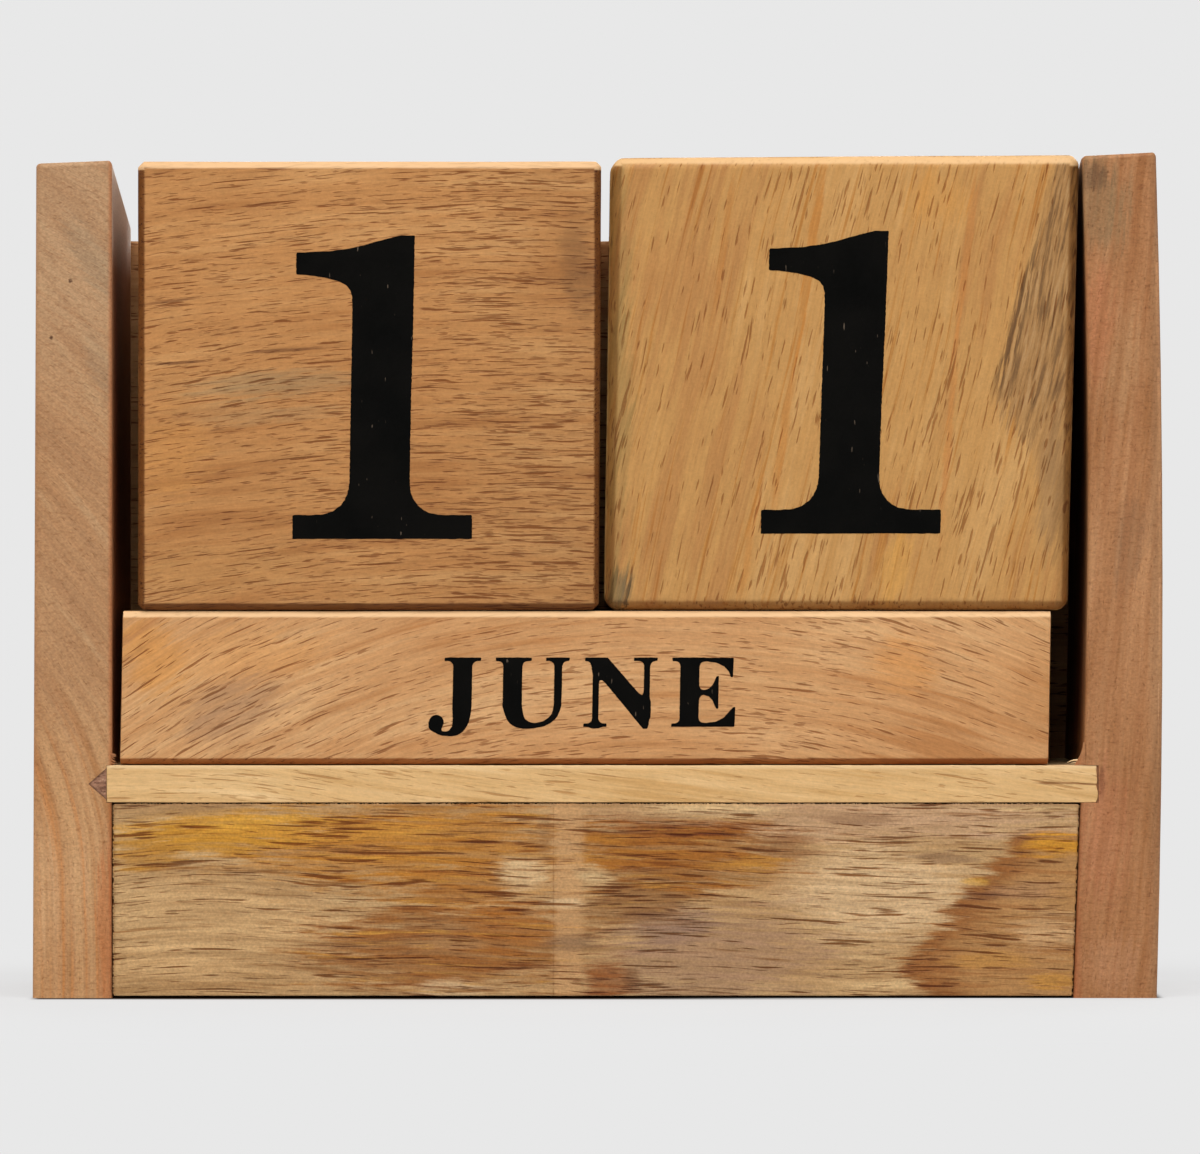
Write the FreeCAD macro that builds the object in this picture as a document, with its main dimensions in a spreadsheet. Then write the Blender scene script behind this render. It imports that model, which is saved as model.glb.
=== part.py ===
import FreeCAD, Part
import Sketcher
import os
import re

# Desk calendar with a drawer: a wooden case with two date cubes over a row of three month bars,
# and a shallow drawer with a flush front under their shelf.
#
# Frame: +X right, +Y back, +Z up, millimetres. The origin is under the middle of the case, on the
# surface it stands on. Every outline is drawn in the case's own X and Z on the piece's front face
# (or in Y and Z, seen from the side), and the piece's Placement sets that face back along Y.

SIZES = {
    # The case as a whole
    "case_depth": 70,
    "back_thick": 5,
    "back_height": 102.3,
    "back_reach_left": 74.6,
    "back_reach_right": 74.2,
    # Left side, hand-planed: distances from the middle of the case, and heights
    "left_outer_foot": 75,
    "left_outer_top": 74.53,
    "left_inner": 64.45,
    "left_outer_height": 110.8,
    "left_inner_height": 111.2,
    # Right side, bowed outwards at mid-height
    "right_outer_foot": 74.27,
    "right_outer_bow": 75,
    "right_outer_top": 74.14,
    "right_outer_height": 112.3,
    "right_inner_foot": 63.15,
    "right_inner_under": 64.1,
    "right_inner_over": 64.5,
    "right_inner_bow": 65.1,
    "right_inner_top": 64.3,
    "right_inner_height": 111.8,
    "bow_height": 67,
    # Both sides slope down to the back
    "top_drop": 6.8,
    "plank_round": 0.6,
    # Shelf in its through dados, and the filler at the open left end
    "shelf_under": 25.95,
    "shelf_over": 30.9,
    "shelf_round": 0.35,
    "dado_left": 0.75,
    "dado_right": 2,
    "filler_reach": 2.4,
    "filler_rise": 4.2,
    "filler_depth": 8,
    # Base board that carries the drawer, short of the drawer's front by a finger gap
    "base_thick": 5,
    "finger_gap": 12,
    # Drawer
    "front_thick": 8,
    "front_lift": 0.3,
    "front_gap": 0.2,
    "front_round": 0.2,
    "drawer_clear": 0.15,
    "board_thick": 4,
    "board_top": 24.4,
    "rebate_depth": 3,
    "groove_depth": 1.5,
    "bottom_thick": 3,
    "bottom_lift": 1.5,
    "right_board_clear": 0.35,
    # Date cubes
    "cube_front": 0.4,
    "cube_foot": 51.5,
    "cube_depth": 61.4,
    "left_cube_left": 61.06,
    "left_cube_right_foot": 0.2,
    "left_cube_right_top": 0.5,
    "left_cube_height": 59.6,
    "left_cube_bevel": 0.9,
    "right_cube_left_foot": 0.82,
    "right_cube_left_top": 1.68,
    "right_cube_right_foot": 62.44,
    "right_cube_right_top": 64,
    "right_cube_left_height": 60.1,
    "right_cube_right_height": 60.5,
    "right_cube_bevel": 1.25,
    # Month bars
    "bar_left": 63.3,
    "bar_right": 60.1,
    "bar_lean": 0.2,
    "bar_size": 20.4,
    "bar_clear": 0.1,
    "bar_pitch": 20.6,
    "bar_bevel": 0.85,
}

doc = FreeCAD.newDocument("desk_calendar")
sheet = doc.addObject("Spreadsheet::Sheet", "Sizes")
for row, (name, value) in enumerate(SIZES.items(), start=1):
    sheet.set(f"A{row}", name)
    sheet.set(f"B{row}", str(value))
    sheet.setAlias(f"B{row}", name)
doc.recompute()


def bound(text):
    """The same sum with each size's name pointing at its cell in the sheet."""
    return re.sub(r"([a-z]\w*)", r"Sizes.\1", text)


def value(text):
    """The number that a sum of named sizes comes to."""
    return float(sheet.evalExpression(bound(text)))


def new_piece(label, set_back):
    """An empty body whose front face lies set_back behind the front of the case."""
    body = doc.addObject("PartDesign::Body", label)
    body.Label = label
    body.setExpression("Placement.Base.y", bound(f"{set_back} - case_depth / 2"))
    return body


def place_vertex(sketch, geometry, end, across, up):
    """Holds one point of a sketch at two bound distances from the sketch's origin."""
    for kind, text in (("DistanceX", across), ("DistanceY", up)):
        index = sketch.addConstraint(Sketcher.Constraint(kind, -1, 1, geometry, end, value(text)))
        sketch.setExpression(f"Constraints[{index}]", bound(text))


def outline(body, name, corners, plane="XZ_Plane", set_back="0", bows=()):
    """A closed outline through the corners. bows maps an edge to a point that its arc passes."""
    bows = dict(bows)
    sketch = body.newObject("Sketcher::SketchObject", name)
    support = next(item for item in body.Origin.OriginFeatures if item.Role == plane)
    sketch.AttachmentSupport = [(support, "")]
    sketch.MapMode = "FlatFace"
    sketch.setExpression("AttachmentOffset.Base.z", bound(f"-({set_back})"))
    points = [FreeCAD.Vector(value(across), value(up), 0) for across, up in corners]
    starts = []
    for edge, start in enumerate(points):
        end = points[(edge + 1) % len(points)]
        if edge in bows:
            middle = FreeCAD.Vector(value(bows[edge][0]), value(bows[edge][1]), 0)
            turns_left = (middle - start).cross(end - middle).z > 0
            ends = (start, middle, end) if turns_left else (end, middle, start)
            sketch.addGeometry(Part.Arc(*ends), False)
            starts.append(1 if turns_left else 2)
        else:
            sketch.addGeometry(Part.LineSegment(start, end), False)
            starts.append(1)
    for edge, (across, up) in enumerate(corners):
        before = edge - 1 if edge else len(corners) - 1
        meeting = (before, 3 - starts[before], edge, starts[edge])
        sketch.addConstraint(Sketcher.Constraint("Coincident", *meeting))
        place_vertex(sketch, edge, starts[edge], across, up)
    for edge, (across, up) in bows.items():
        guide = sketch.addGeometry(Part.Point(FreeCAD.Vector(value(across), value(up), 0)), True)
        sketch.addConstraint(Sketcher.Constraint("PointOnObject", guide, 1, edge))
        place_vertex(sketch, guide, 1, across, up)
    return sketch


def box_corners(left, right, low, high):
    """The four corners of a plain rectangle."""
    return [(left, low), (right, low), (right, high), (left, high)]


def pad(body, sketch, depth):
    """Runs an outline back by a depth."""
    feature = body.newObject("PartDesign::Pad", sketch.Name + "_pad")
    feature.Profile = sketch
    feature.setExpression("Length", bound(depth))
    feature.Reversed = True
    doc.recompute()
    return feature


def pocket(body, sketch, depth=None):
    """Cuts an outline back into the body, or right through it both ways, and proves the cut."""
    before = body.Shape.Volume
    feature = body.newObject("PartDesign::Pocket", sketch.Name + "_cut")
    feature.Profile = sketch
    if depth:
        feature.setExpression("Length", bound(depth))
    else:
        feature.SideType = "Symmetric"
        feature.Type = "ThroughAll"
    doc.recompute()
    if body.Shape.Volume > before - 0.01:
        raise RuntimeError(f"{sketch.Name} cut nothing out of {body.Label}")
    return feature


def round_edges(body, name, radius, wanted=lambda edge: True):
    """Rounds over the edges of the body as it stands that pass the test."""
    tip = body.Tip
    chosen = [f"Edge{number}" for number, edge in enumerate(tip.Shape.Edges, start=1) if wanted(edge)]
    feature = body.newObject("PartDesign::Fillet", name)
    feature.Base = (tip, chosen)
    feature.setExpression("Radius", bound(radius))
    doc.recompute()
    return feature


def bevel_edges(body, name, size, wanted):
    """Planes a flat bevel along the wanted edges of the body as it stands."""
    tip = body.Tip
    edges = enumerate(tip.Shape.Edges, start=1)
    feature = body.newObject("PartDesign::Chamfer", name)
    feature.Base = (tip, [f"Edge{number}" for number, edge in edges if wanted(edge)])
    feature.setExpression("Size", bound(size))
    doc.recompute()
    return feature


def off_the_floor(edge):
    """True for an edge that isn't part of the foot of a plank."""
    return edge.BoundBox.ZMax > 0.01


def every_edge(edge):
    """True for any edge: a date cube is bevelled all round."""
    return True


def long_edge(edge):
    """True for an edge that runs across from end to end: a month bar's ends are sawn square."""
    box = edge.BoundBox
    return box.XLength > box.YLength + box.ZLength


# The fixed case


def make_side(label, corners, bows, drop_from):
    """A side plank: its front outline run back, its top planed down to the back, edges eased."""
    body = new_piece(label, "0")
    pad(body, outline(body, label + "_front", corners, bows=bows), "case_depth - back_thick")
    slope = [
        ("0", f"{drop_from} + 1"),
        ("0", drop_from),
        ("case_depth - back_thick", f"{drop_from} - top_drop"),
        ("case_depth - back_thick", f"{drop_from} + 1"),
    ]
    pocket(body, outline(body, label + "_slope", slope, plane="YZ_Plane"))
    round_edges(body, label + "_eased", "plank_round", off_the_floor)
    return body


def make_side_left():
    body = make_side(
        "side_left",
        [
            ("-left_outer_foot", "0"),
            ("-left_inner", "0"),
            ("-left_inner", "left_inner_height"),
            ("-left_outer_top", "left_outer_height"),
        ],
        {},
        "left_inner_height",
    )
    dado = box_corners("-left_inner - dado_left", "-left_inner + 1", "shelf_under", "shelf_over")
    pocket(body, outline(body, "left_dado", dado))
    pocket(body, outline(body, "filler_notch", filler_corners()), "filler_depth")


def filler_corners():
    """A wedge lying on its side, with its point in the plank and its foot on the shelf's end."""
    middle = "(shelf_under + shelf_over) / 2"
    return [
        ("-left_inner - dado_left", f"{middle} - filler_rise / 2"),
        ("-left_inner - dado_left", f"{middle} + filler_rise / 2"),
        ("-left_inner - dado_left - filler_reach", middle),
    ]


def make_side_right():
    body = make_side(
        "side_right",
        [
            ("right_inner_foot", "0"),
            ("right_outer_foot", "0"),
            ("right_outer_top", "right_outer_height"),
            ("right_inner_top", "right_inner_height"),
            ("right_inner_over", "shelf_over"),
            ("right_inner_under", "shelf_under"),
        ],
        {1: ("right_outer_bow", "bow_height"), 3: ("right_inner_bow", "bow_height")},
        "right_outer_height",
    )
    dado = box_corners("right_inner_under - 1", "right_inner_over + dado_right", "shelf_under", "shelf_over")
    pocket(body, outline(body, "right_dado", dado))


def make_shelf():
    body = new_piece("shelf", "0")
    corners = box_corners(
        "-left_inner - dado_left", "right_inner_over + dado_right", "shelf_under", "shelf_over"
    )
    pad(body, outline(body, "shelf_front", corners), "case_depth - back_thick")
    round_edges(body, "shelf_eased", "shelf_round", at_front_along_x)


def at_front_along_x(edge):
    """True for the two long edges of a board's front face."""
    box = edge.BoundBox
    return box.YMax < 0.01 and box.XLength > 1


def make_wood_filler():
    body = new_piece("wood_filler", "0")
    pad(body, outline(body, "filler_front", filler_corners()), "filler_depth")


def make_back_panel():
    body = new_piece("back_panel", "case_depth - back_thick")
    corners = box_corners("-back_reach_left", "back_reach_right", "0", "back_height")
    pad(body, outline(body, "back_front", corners), "back_thick")
    round_edges(body, "back_eased", "plank_round", off_the_floor)


def make_base_board():
    """The drawer's floor, its right end cut to the lean of the right side."""
    body = new_piece("base_board", "front_thick + finger_gap")
    lean = "(right_inner_under - right_inner_foot) / shelf_under"
    corners = [
        ("-left_inner", "0"),
        ("right_inner_foot", "0"),
        (f"right_inner_foot + base_thick * {lean}", "base_thick"),
        ("-left_inner", "base_thick"),
    ]
    run = "case_depth - back_thick - front_thick - finger_gap"
    pad(body, outline(body, "base_front", corners), run)


# The drawer

BOARD_FOOT = "base_thick + drawer_clear"
BOTTOM_LOW = f"{BOARD_FOOT} + bottom_lift"
BOTTOM_HIGH = f"{BOTTOM_LOW} + bottom_thick"
LEFT_OUT = "left_inner - front_gap - drawer_clear"
LEFT_IN = f"{LEFT_OUT} - board_thick"
RIGHT_OUT = "right_inner_foot - right_board_clear"
RIGHT_IN = f"{RIGHT_OUT} - board_thick"
DRAWER_END = "case_depth - back_thick - drawer_clear"


def make_drawer_front():
    """The front, cut to the case's opening, with a rebate for each board and a groove between."""
    body = new_piece("drawer_front", "0")
    high = "shelf_under - front_gap"
    lean = "(right_inner_under - right_inner_foot) / shelf_under"
    corners = [
        ("-left_inner + front_gap", "front_lift"),
        ("right_inner_foot - front_gap", "front_lift"),
        (f"right_inner_foot - front_gap + ({high}) * {lean}", high),
        ("-left_inner + front_gap", high),
    ]
    pad(body, outline(body, "drawer_face", corners), "front_thick")
    round_edges(body, "drawer_face_eased", "front_round")
    behind = "front_thick - rebate_depth"
    left = box_corners("-left_inner", f"-({LEFT_IN})", BOARD_FOOT, "board_top")
    right = box_corners(RIGHT_IN, "right_inner_over", BOARD_FOOT, "board_top")
    groove = box_corners(f"-({LEFT_IN}) - 1", f"{RIGHT_IN} + 1", BOTTOM_LOW, BOTTOM_HIGH)
    pocket(body, outline(body, "rebate_left", left, set_back=behind), "rebate_depth + 1")
    pocket(body, outline(body, "rebate_right", right, set_back=behind), "rebate_depth + 1")
    floor = "front_thick - groove_depth"
    pocket(body, outline(body, "front_groove", groove, set_back=floor), "groove_depth + 1")


def make_drawer_board(label, left, right, groove_left, groove_right):
    """One of the drawer's two long boards, seated in its rebate and grooved for the bottom."""
    body = new_piece(label, "front_thick - rebate_depth")
    corners = box_corners(left, right, BOARD_FOOT, "board_top")
    pad(body, outline(body, label + "_end", corners), f"{DRAWER_END} - front_thick + rebate_depth")
    groove = box_corners(groove_left, groove_right, BOTTOM_LOW, BOTTOM_HIGH)
    pocket(body, outline(body, label + "_groove", groove))


def make_drawer_back():
    """The drawer's back, standing on the bottom between the two long boards."""
    body = new_piece("drawer_back", f"{DRAWER_END} - board_thick")
    corners = box_corners(f"-({LEFT_IN})", RIGHT_IN, BOTTOM_HIGH, "board_top - 1")
    pad(body, outline(body, "drawer_back_front", corners), "board_thick")


def make_drawer_bottom():
    """The thin bottom, in the grooves of the front and the boards, and under the back."""
    body = new_piece("drawer_bottom", "front_thick - groove_depth")
    corners = box_corners(
        f"-({LEFT_IN}) - groove_depth", f"{RIGHT_IN} + groove_depth", BOTTOM_LOW, BOTTOM_HIGH
    )
    pad(body, outline(body, "bottom_front", corners), f"{DRAWER_END} - front_thick + groove_depth")


# The loose blocks


def make_block(label, set_back, corners, depth, bevel, wanted):
    """A solid block of wood with a flat bevel planed along the wanted edges."""
    body = new_piece(label, set_back)
    pad(body, outline(body, label + "_front", corners), depth)
    bevel_edges(body, label + "_bevelled", bevel, wanted)


def make_cubes():
    left = [
        ("-left_cube_left", "cube_foot"),
        ("left_cube_right_foot", "cube_foot"),
        ("left_cube_right_top", "cube_foot + left_cube_height"),
        ("-left_cube_left", "cube_foot + left_cube_height"),
    ]
    right = [
        ("right_cube_left_foot", "cube_foot"),
        ("right_cube_right_foot", "cube_foot"),
        ("right_cube_right_top", "cube_foot + right_cube_right_height"),
        ("right_cube_left_top", "cube_foot + right_cube_left_height"),
    ]
    make_block("cube_left", "cube_front", left, "cube_depth", "left_cube_bevel", every_edge)
    make_block("cube_right", "cube_front", right, "cube_depth", "right_cube_bevel", every_edge)


def make_month_bars():
    foot = "shelf_over + bar_clear"
    corners = [
        ("-bar_left - bar_lean", foot),
        ("bar_right - bar_lean", foot),
        ("bar_right + bar_lean", f"{foot} + bar_size"),
        ("-bar_left + bar_lean", f"{foot} + bar_size"),
    ]
    for place, label in enumerate(("month_bar_front", "month_bar_middle", "month_bar_rear")):
        set_back = f"cube_front + {place} * bar_pitch"
        make_block(label, set_back, corners, "bar_size", "bar_bevel", long_edge)


make_side_left()
make_side_right()
make_shelf()
make_wood_filler()
make_back_panel()
make_base_board()
make_drawer_front()
make_drawer_board(
    "drawer_side_left", f"-({LEFT_OUT})", f"-({LEFT_IN})", f"-({LEFT_IN}) - groove_depth", f"-({LEFT_IN}) + 1"
)
make_drawer_board("drawer_side_right", RIGHT_IN, RIGHT_OUT, f"{RIGHT_IN} - 1", f"{RIGHT_IN} + groove_depth")
make_drawer_back()
make_drawer_bottom()
make_cubes()
make_month_bars()

doc.recompute()
for item in doc.Objects:
    if "Invalid" in item.State or "Error" in item.State:
        raise RuntimeError(f"{item.Label} failed to build: {item.State}")
bodies = [item for item in doc.Objects if item.TypeId == "PartDesign::Body"]
for body in bodies:
    if body.Shape.isNull() or not body.Shape.isValid() or len(body.Shape.Solids) != 1:
        raise RuntimeError(f"{body.Label} isn't one sound solid")

os.makedirs("parts", exist_ok=True)
for body in bodies:
    body.Shape.exportStep(f"parts/{body.Label}.step")
    box = body.Shape.BoundBox
    print(
        f"{body.Label:18s} x {box.XMin:7.2f} {box.XMax:7.2f}  y {box.YMin:7.2f} {box.YMax:7.2f}"
        f"  z {box.ZMin:7.2f} {box.ZMax:7.2f}  volume {body.Shape.Volume:9.1f}"
    )
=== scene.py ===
import math

import bmesh
import bpy
import numpy as np
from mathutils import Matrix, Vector


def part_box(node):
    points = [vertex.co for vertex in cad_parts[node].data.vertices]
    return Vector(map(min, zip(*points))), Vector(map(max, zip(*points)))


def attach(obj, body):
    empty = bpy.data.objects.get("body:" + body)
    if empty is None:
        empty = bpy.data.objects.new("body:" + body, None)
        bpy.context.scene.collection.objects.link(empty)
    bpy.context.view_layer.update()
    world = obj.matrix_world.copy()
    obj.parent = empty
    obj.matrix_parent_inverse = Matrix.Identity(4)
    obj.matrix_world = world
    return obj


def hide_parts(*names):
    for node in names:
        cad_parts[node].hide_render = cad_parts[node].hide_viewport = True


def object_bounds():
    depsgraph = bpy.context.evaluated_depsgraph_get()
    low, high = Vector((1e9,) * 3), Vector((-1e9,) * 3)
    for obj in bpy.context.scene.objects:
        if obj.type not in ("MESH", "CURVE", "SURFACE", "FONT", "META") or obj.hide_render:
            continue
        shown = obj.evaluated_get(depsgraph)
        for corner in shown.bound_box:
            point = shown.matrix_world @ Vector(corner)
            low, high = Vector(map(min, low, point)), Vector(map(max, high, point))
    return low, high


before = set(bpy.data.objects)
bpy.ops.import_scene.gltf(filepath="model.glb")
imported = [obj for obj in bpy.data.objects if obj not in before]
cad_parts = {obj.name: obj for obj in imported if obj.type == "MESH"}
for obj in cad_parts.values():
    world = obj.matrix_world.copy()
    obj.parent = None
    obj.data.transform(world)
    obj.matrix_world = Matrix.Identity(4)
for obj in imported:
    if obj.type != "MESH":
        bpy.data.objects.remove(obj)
cad_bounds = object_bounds()

# A wooden block calendar: two date cubes over three month bars, in a case with a drawer.
# Blender's unit is the metre. Every size and place below is in millimetres, in the frame's own
# axes: +X right, +Y back, +Z up, with the floor at zero and the case's middle at zero.
MM = 0.001
FRONT = cad_bounds[0][1] / MM

# The month bars stand in a row, a pitch apart, and their ends lean across by a share of height.
BAR_SIZE = 20.4
BAR_PITCH = 20.6
BAR_LEAN = 0.0196


def tone(red, green, blue):
    """A colour given in everyday 0 to 255 steps, as the linear colour that shaders use."""
    steps = np.array([red, green, blue]) / 255
    linear = np.where(steps < 0.04045, steps / 12.92, ((steps + 0.055) / 1.055) ** 2.4)
    return (*linear.tolist(), 1.0)

# Materials: sums of fields


class Field:
    """A number, vector or colour that varies over a surface. Sums on it add Math nodes."""

    def __init__(self, finish, socket):
        self.finish = finish
        self.socket = socket

    def math(self, operation, *others):
        values = dict(enumerate((self, *others)))
        return self.finish.node("ShaderNodeMath", {"operation": operation}, values)

    def __add__(self, other):
        return self.math("ADD", other)

    __radd__ = __add__

    def __sub__(self, other):
        return self.math("SUBTRACT", other)

    def __rsub__(self, other):
        return self.finish.node("ShaderNodeMath", {"operation": "SUBTRACT"}, {0: other, 1: self})

    def __mul__(self, other):
        return self.math("MULTIPLY", other)

    __rmul__ = __mul__

    def __truediv__(self, other):
        return self.math("DIVIDE", other)

    def __pow__(self, other):
        return self.math("POWER", other)

    def higher(self, other):
        return self.math("MAXIMUM", other)

    def lower(self, other):
        return self.math("MINIMUM", other)

    def far(self):
        return self.math("ABSOLUTE")

    def rise(self, start, end):
        """0 up to start and 1 from end on, with a smooth step between. Start may be above end."""
        settings = {"interpolation_type": "SMOOTHSTEP", "clamp": True}
        values = {"Value": self, "From Min": start, "From Max": end}
        return self.finish.node("ShaderNodeMapRange", settings, values)

    def parts(self):
        """The three numbers of a vector."""
        split = self.finish.add("ShaderNodeSeparateXYZ", {}, {"Vector": self})
        return [Field(self.finish, socket) for socket in split.outputs]


class Finish:
    """A material, whose patterns are laid out in millimetres over the whole object."""

    def __init__(self, name):
        self.material = bpy.data.materials.new(name)
        self.material.use_nodes = True
        self.tree = self.material.node_tree
        self.surface = self.tree.nodes["Principled BSDF"]
        coordinates = self.node("ShaderNodeTexCoord", output="Object")
        self.place = self.scaled(coordinates, (1 / MM, 1 / MM, 1 / MM))
        self.x, self.y, self.z = self.place.parts()

    def add(self, kind, settings, values):
        """Adds a node: first its settings, then the values or links of its sockets."""
        node = self.tree.nodes.new(kind)
        for name, setting in settings.items():
            setattr(node, name, setting)
        for name, value in values.items():
            if isinstance(value, Field):
                self.tree.links.new(value.socket, node.inputs[name])
            else:
                node.inputs[name].default_value = value
        return node

    def node(self, kind, settings=None, values=None, output=0):
        added = self.add(kind, settings or {}, values or {})
        return Field(self, added.outputs[output])

    def scaled(self, vector, factors):
        return self.node("ShaderNodeVectorMath", {"operation": "MULTIPLY"}, {0: vector, 1: factors})

    def moved(self, vector, shift):
        return self.node("ShaderNodeVectorMath", {"operation": "ADD"}, {0: vector, 1: shift})

    def vector(self, x, y, z):
        return self.node("ShaderNodeCombineXYZ", {}, {"X": x, "Y": y, "Z": z})

    def mixed(self, share, first, second):
        """The first colour where share is 0, the second where it is 1."""
        values = {0: share, 6: first, 7: second}
        return self.node("ShaderNodeMix", {"data_type": "RGBA"}, values, output=2)

    def shaded(self, colour, factor):
        """A colour times a number."""
        return self.node("ShaderNodeVectorMath", {"operation": "SCALE"}, {0: colour, "Scale": factor})

    def cloud(self, vector, size, detail=2.0, rough=0.5, seed=0.0):
        """Soft noise around 0.5, whose lumps have the given size along each axis."""
        spread = self.scaled(vector, tuple(1 / length for length in size))
        moved = self.moved(spread, (seed, seed * 1.7, seed * 0.6))
        values = {"Vector": moved, "Scale": 1.0, "Detail": detail, "Roughness": rough}
        return self.node("ShaderNodeTexNoise", {"noise_dimensions": "3D"}, values)

    def spot(self, centre, reach, turn=0.0, ragged=None):
        """1 inside an ellipse in the front view, fading to 0 outside, with a ragged rim.

        Centre and reach are across and up, in millimetres; turn is anticlockwise, in degrees.
        """
        cosine, sine = math.cos(math.radians(turn)), math.sin(math.radians(turn))
        across, up = self.x - centre[0], self.z - centre[1]
        along = (across * cosine + up * sine) / reach[0]
        over = (up * cosine - across * sine) / reach[1]
        distance = (along * along + over * over) ** 0.5
        if ragged is not None:
            distance = distance + ragged
        return distance.rise(1.35, 0.55)

    def close(self, colour, roughness, height):
        """Joins colour, roughness and height, in millimetres, to the surface."""
        bump = {"Height": height, "Distance": MM, "Strength": 1.0}
        self.tree.links.new(colour.socket, self.surface.inputs["Base Color"])
        self.tree.links.new(roughness.socket, self.surface.inputs["Roughness"])
        normal = self.node("ShaderNodeBump", {}, bump)
        self.tree.links.new(normal.socket, self.surface.inputs["Normal"])
        return self.material

# Woods


PORE = (0.38, 0.23, 0.12, 1)


class Wood:
    """One wood's look along its grain: base tones, growth bands, fibres and pores."""

    def __init__(self, finish, grain, seed):
        self.finish = finish
        self.grain = grain
        self.seed = seed
        self.fibre = finish.cloud(grain, (9, 0.34, 0.34), 3.0, 0.62, seed + 3)
        self.fleck = finish.cloud(grain, (1.3, 0.3, 0.3), 1.0, 0.5, seed + 5)
        self.grit = finish.cloud(finish.place, (0.36, 0.3, 0.3), 1.0, 0.6, seed + 6)
        self.streak = finish.cloud(grain, (26, 1.1, 2.2), 3.0, 0.6, seed + 9)
        self.clouds = finish.cloud(finish.place, (20, 20, 20), 2.0, 0.5, seed + 7)
        self.ragged = (finish.cloud(grain, (8, 0.7, 0.7), 4.0, 0.7, seed + 17) - 0.5) * 2.6
        self.colour = None
        self.hollow = None

    def body(self, dark, middle, light, band=3.0, reach=60.0):
        """Lays the base tones in bands along the grain, with slower clouds over them."""
        finish = self.finish
        bands = finish.cloud(self.grain, (reach, band, band * 7), 3.0, 0.6, self.seed)
        depth = bands * 0.55 + self.clouds * 0.45 + (self.streak - 0.5) * 0.35
        colour = finish.mixed(depth.rise(0.36, 0.5), dark, middle)
        self.colour = finish.mixed(depth.rise(0.5, 0.66), colour, light)

    def tint(self, share, colour):
        self.colour = self.finish.mixed(share, self.colour, colour)

    def figure(self, centre, reach, turn, colour, share):
        """A streaky stain or patch of another tone, as an ellipse in the front view.

        Gives back how far it covers the wood.
        """
        spot = self.finish.spot(centre, reach, turn, self.ragged)
        cover = spot * (1 + (self.streak - 0.5) * 2.2) * share
        self.tint(cover, colour)
        return cover

    def figures(self, *patches):
        """Lays stains one over another: each has a centre, reach, turn, tone and share."""
        for centre, reach, turn, steps, share in patches:
            self.figure(centre, reach, turn, tone(*steps), share)

    def shade(self, factor):
        self.colour = self.finish.shaded(self.colour, factor)

    def darken(self, share, tint):
        """Multiplies the colour by a tint where share is 1."""
        settings = {"data_type": "RGBA", "blend_type": "MULTIPLY"}
        values = {0: share, 6: self.colour, 7: tint}
        self.colour = self.finish.node("ShaderNodeMix", settings, values, output=2)

    def pores(self, layers, tint, crowd=None, share=1.0):
        """Adds dashes: each layer has a length, a width, a limit and a strength.

        Crowd is added to the noise that is cut at the limit, so more pores open where it is high.
        """
        hollow = None
        for turn, (length, width, limit, strength) in enumerate(layers):
            seed = self.seed + 13 * (turn + 1)
            size = (length * 2.6, width * 2.6, width * 2.6)
            lump = self.finish.cloud(self.grain, size, 1.0, 0.5, seed)
            if crowd is not None:
                lump = lump + crowd
            dash = lump.rise(limit, limit + 0.08) * strength
            hollow = dash if hollow is None else hollow.higher(dash)
        hollow = hollow * share
        self.hollow = hollow if self.hollow is None else self.hollow.higher(hollow)
        self.darken(hollow, tint)

    def veins(self, length, width, start, end, tint):
        """Soft dark streaks along the grain, where their noise rises from start to end."""
        size = (length * 2.6, width * 2.6, width * 2.6)
        lump = self.finish.cloud(self.grain, size, 3.0, 0.6, self.seed + 23)
        self.darken(lump.rise(start, end), tint)

    def fibres(self, amount=0.2, fleck=0.14, grit=0.1):
        """Brightens and darkens the colour by fibres, short flecks and the finest grain."""
        light = 1 + (self.fibre - 0.5) * (2 * amount) + (self.fleck - 0.5) * (2 * fleck)
        self.shade(light + (self.grit - 0.5) * (2 * grit))

    def edges(self, node, width, worn, stain_and_shade, lean=0.0, pitch=None):
        """Wear and painted light on a block's taken-off edges.

        Along its top they are paler, as rubbed wood and a painted highlight; along the others they
        are darker, as stain and painted shade. Each point has a depth below the nearer of each
        pair of faces. The middle one of its three depths is under the edge's width only on an
        edge. A block that leans has its places slid back across by lean times their height.
        Blocks in a row share the look of the first, a pitch apart, and only their long edges are
        marked.
        """
        finish = self.finish
        low, high = ([length / MM for length in corner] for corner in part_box(node))
        back = finish.y - low[1]
        if pitch is not None:
            back = back.math("MODULO", pitch)
        across = finish.x - finish.z * lean
        sides = (low[0] - low[2] * lean, high[0] - high[2] * lean)
        wide = (across - sides[0]).lower(sides[1] - across)
        deep = back.lower(high[1] - low[1] - back)
        below_top = high[2] - finish.z
        tall = (finish.z - low[2]).lower(below_top)
        middle = deep.higher(tall)
        if pitch is None:
            middle = wide.lower(deep).higher(wide.higher(deep).lower(tall))
        middle = middle + self.ragged * (0.12 * width)
        on_edge = middle.rise(width * 1.1, width * 0.75)
        at_top = below_top.rise(width * 1.3, width)
        # Painted highlight and shade: the pale tint on the top edge stands for rubbed wood and for light
        # falling on it; the darkening of the other edges stands for stain and for shade where they face
        # down or sideways.
        self.tint(on_edge * at_top * 0.8, worn)
        self.darken(on_edge * (1 - at_top), stain_and_shade)

    def close(self, rough=0.55):
        roughness = rough + (self.fibre - 0.5) * 0.3 + self.hollow * 0.2
        relief = (self.fibre - 0.5) * 0.025 + (self.fleck - 0.5) * 0.015 + (self.grit - 0.5) * 0.012
        self.finish.surface.inputs["Specular IOR Level"].default_value = 0.2
        return self.finish.close(self.colour, roughness, relief - self.hollow * 0.05)


def waved(finish, amount, size, seed):
    """A slow drift of the grain, in millimetres either way."""
    return (finish.cloud(finish.place, size, 1.0, 0.5, seed) - 0.5) * (2 * amount)


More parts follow.
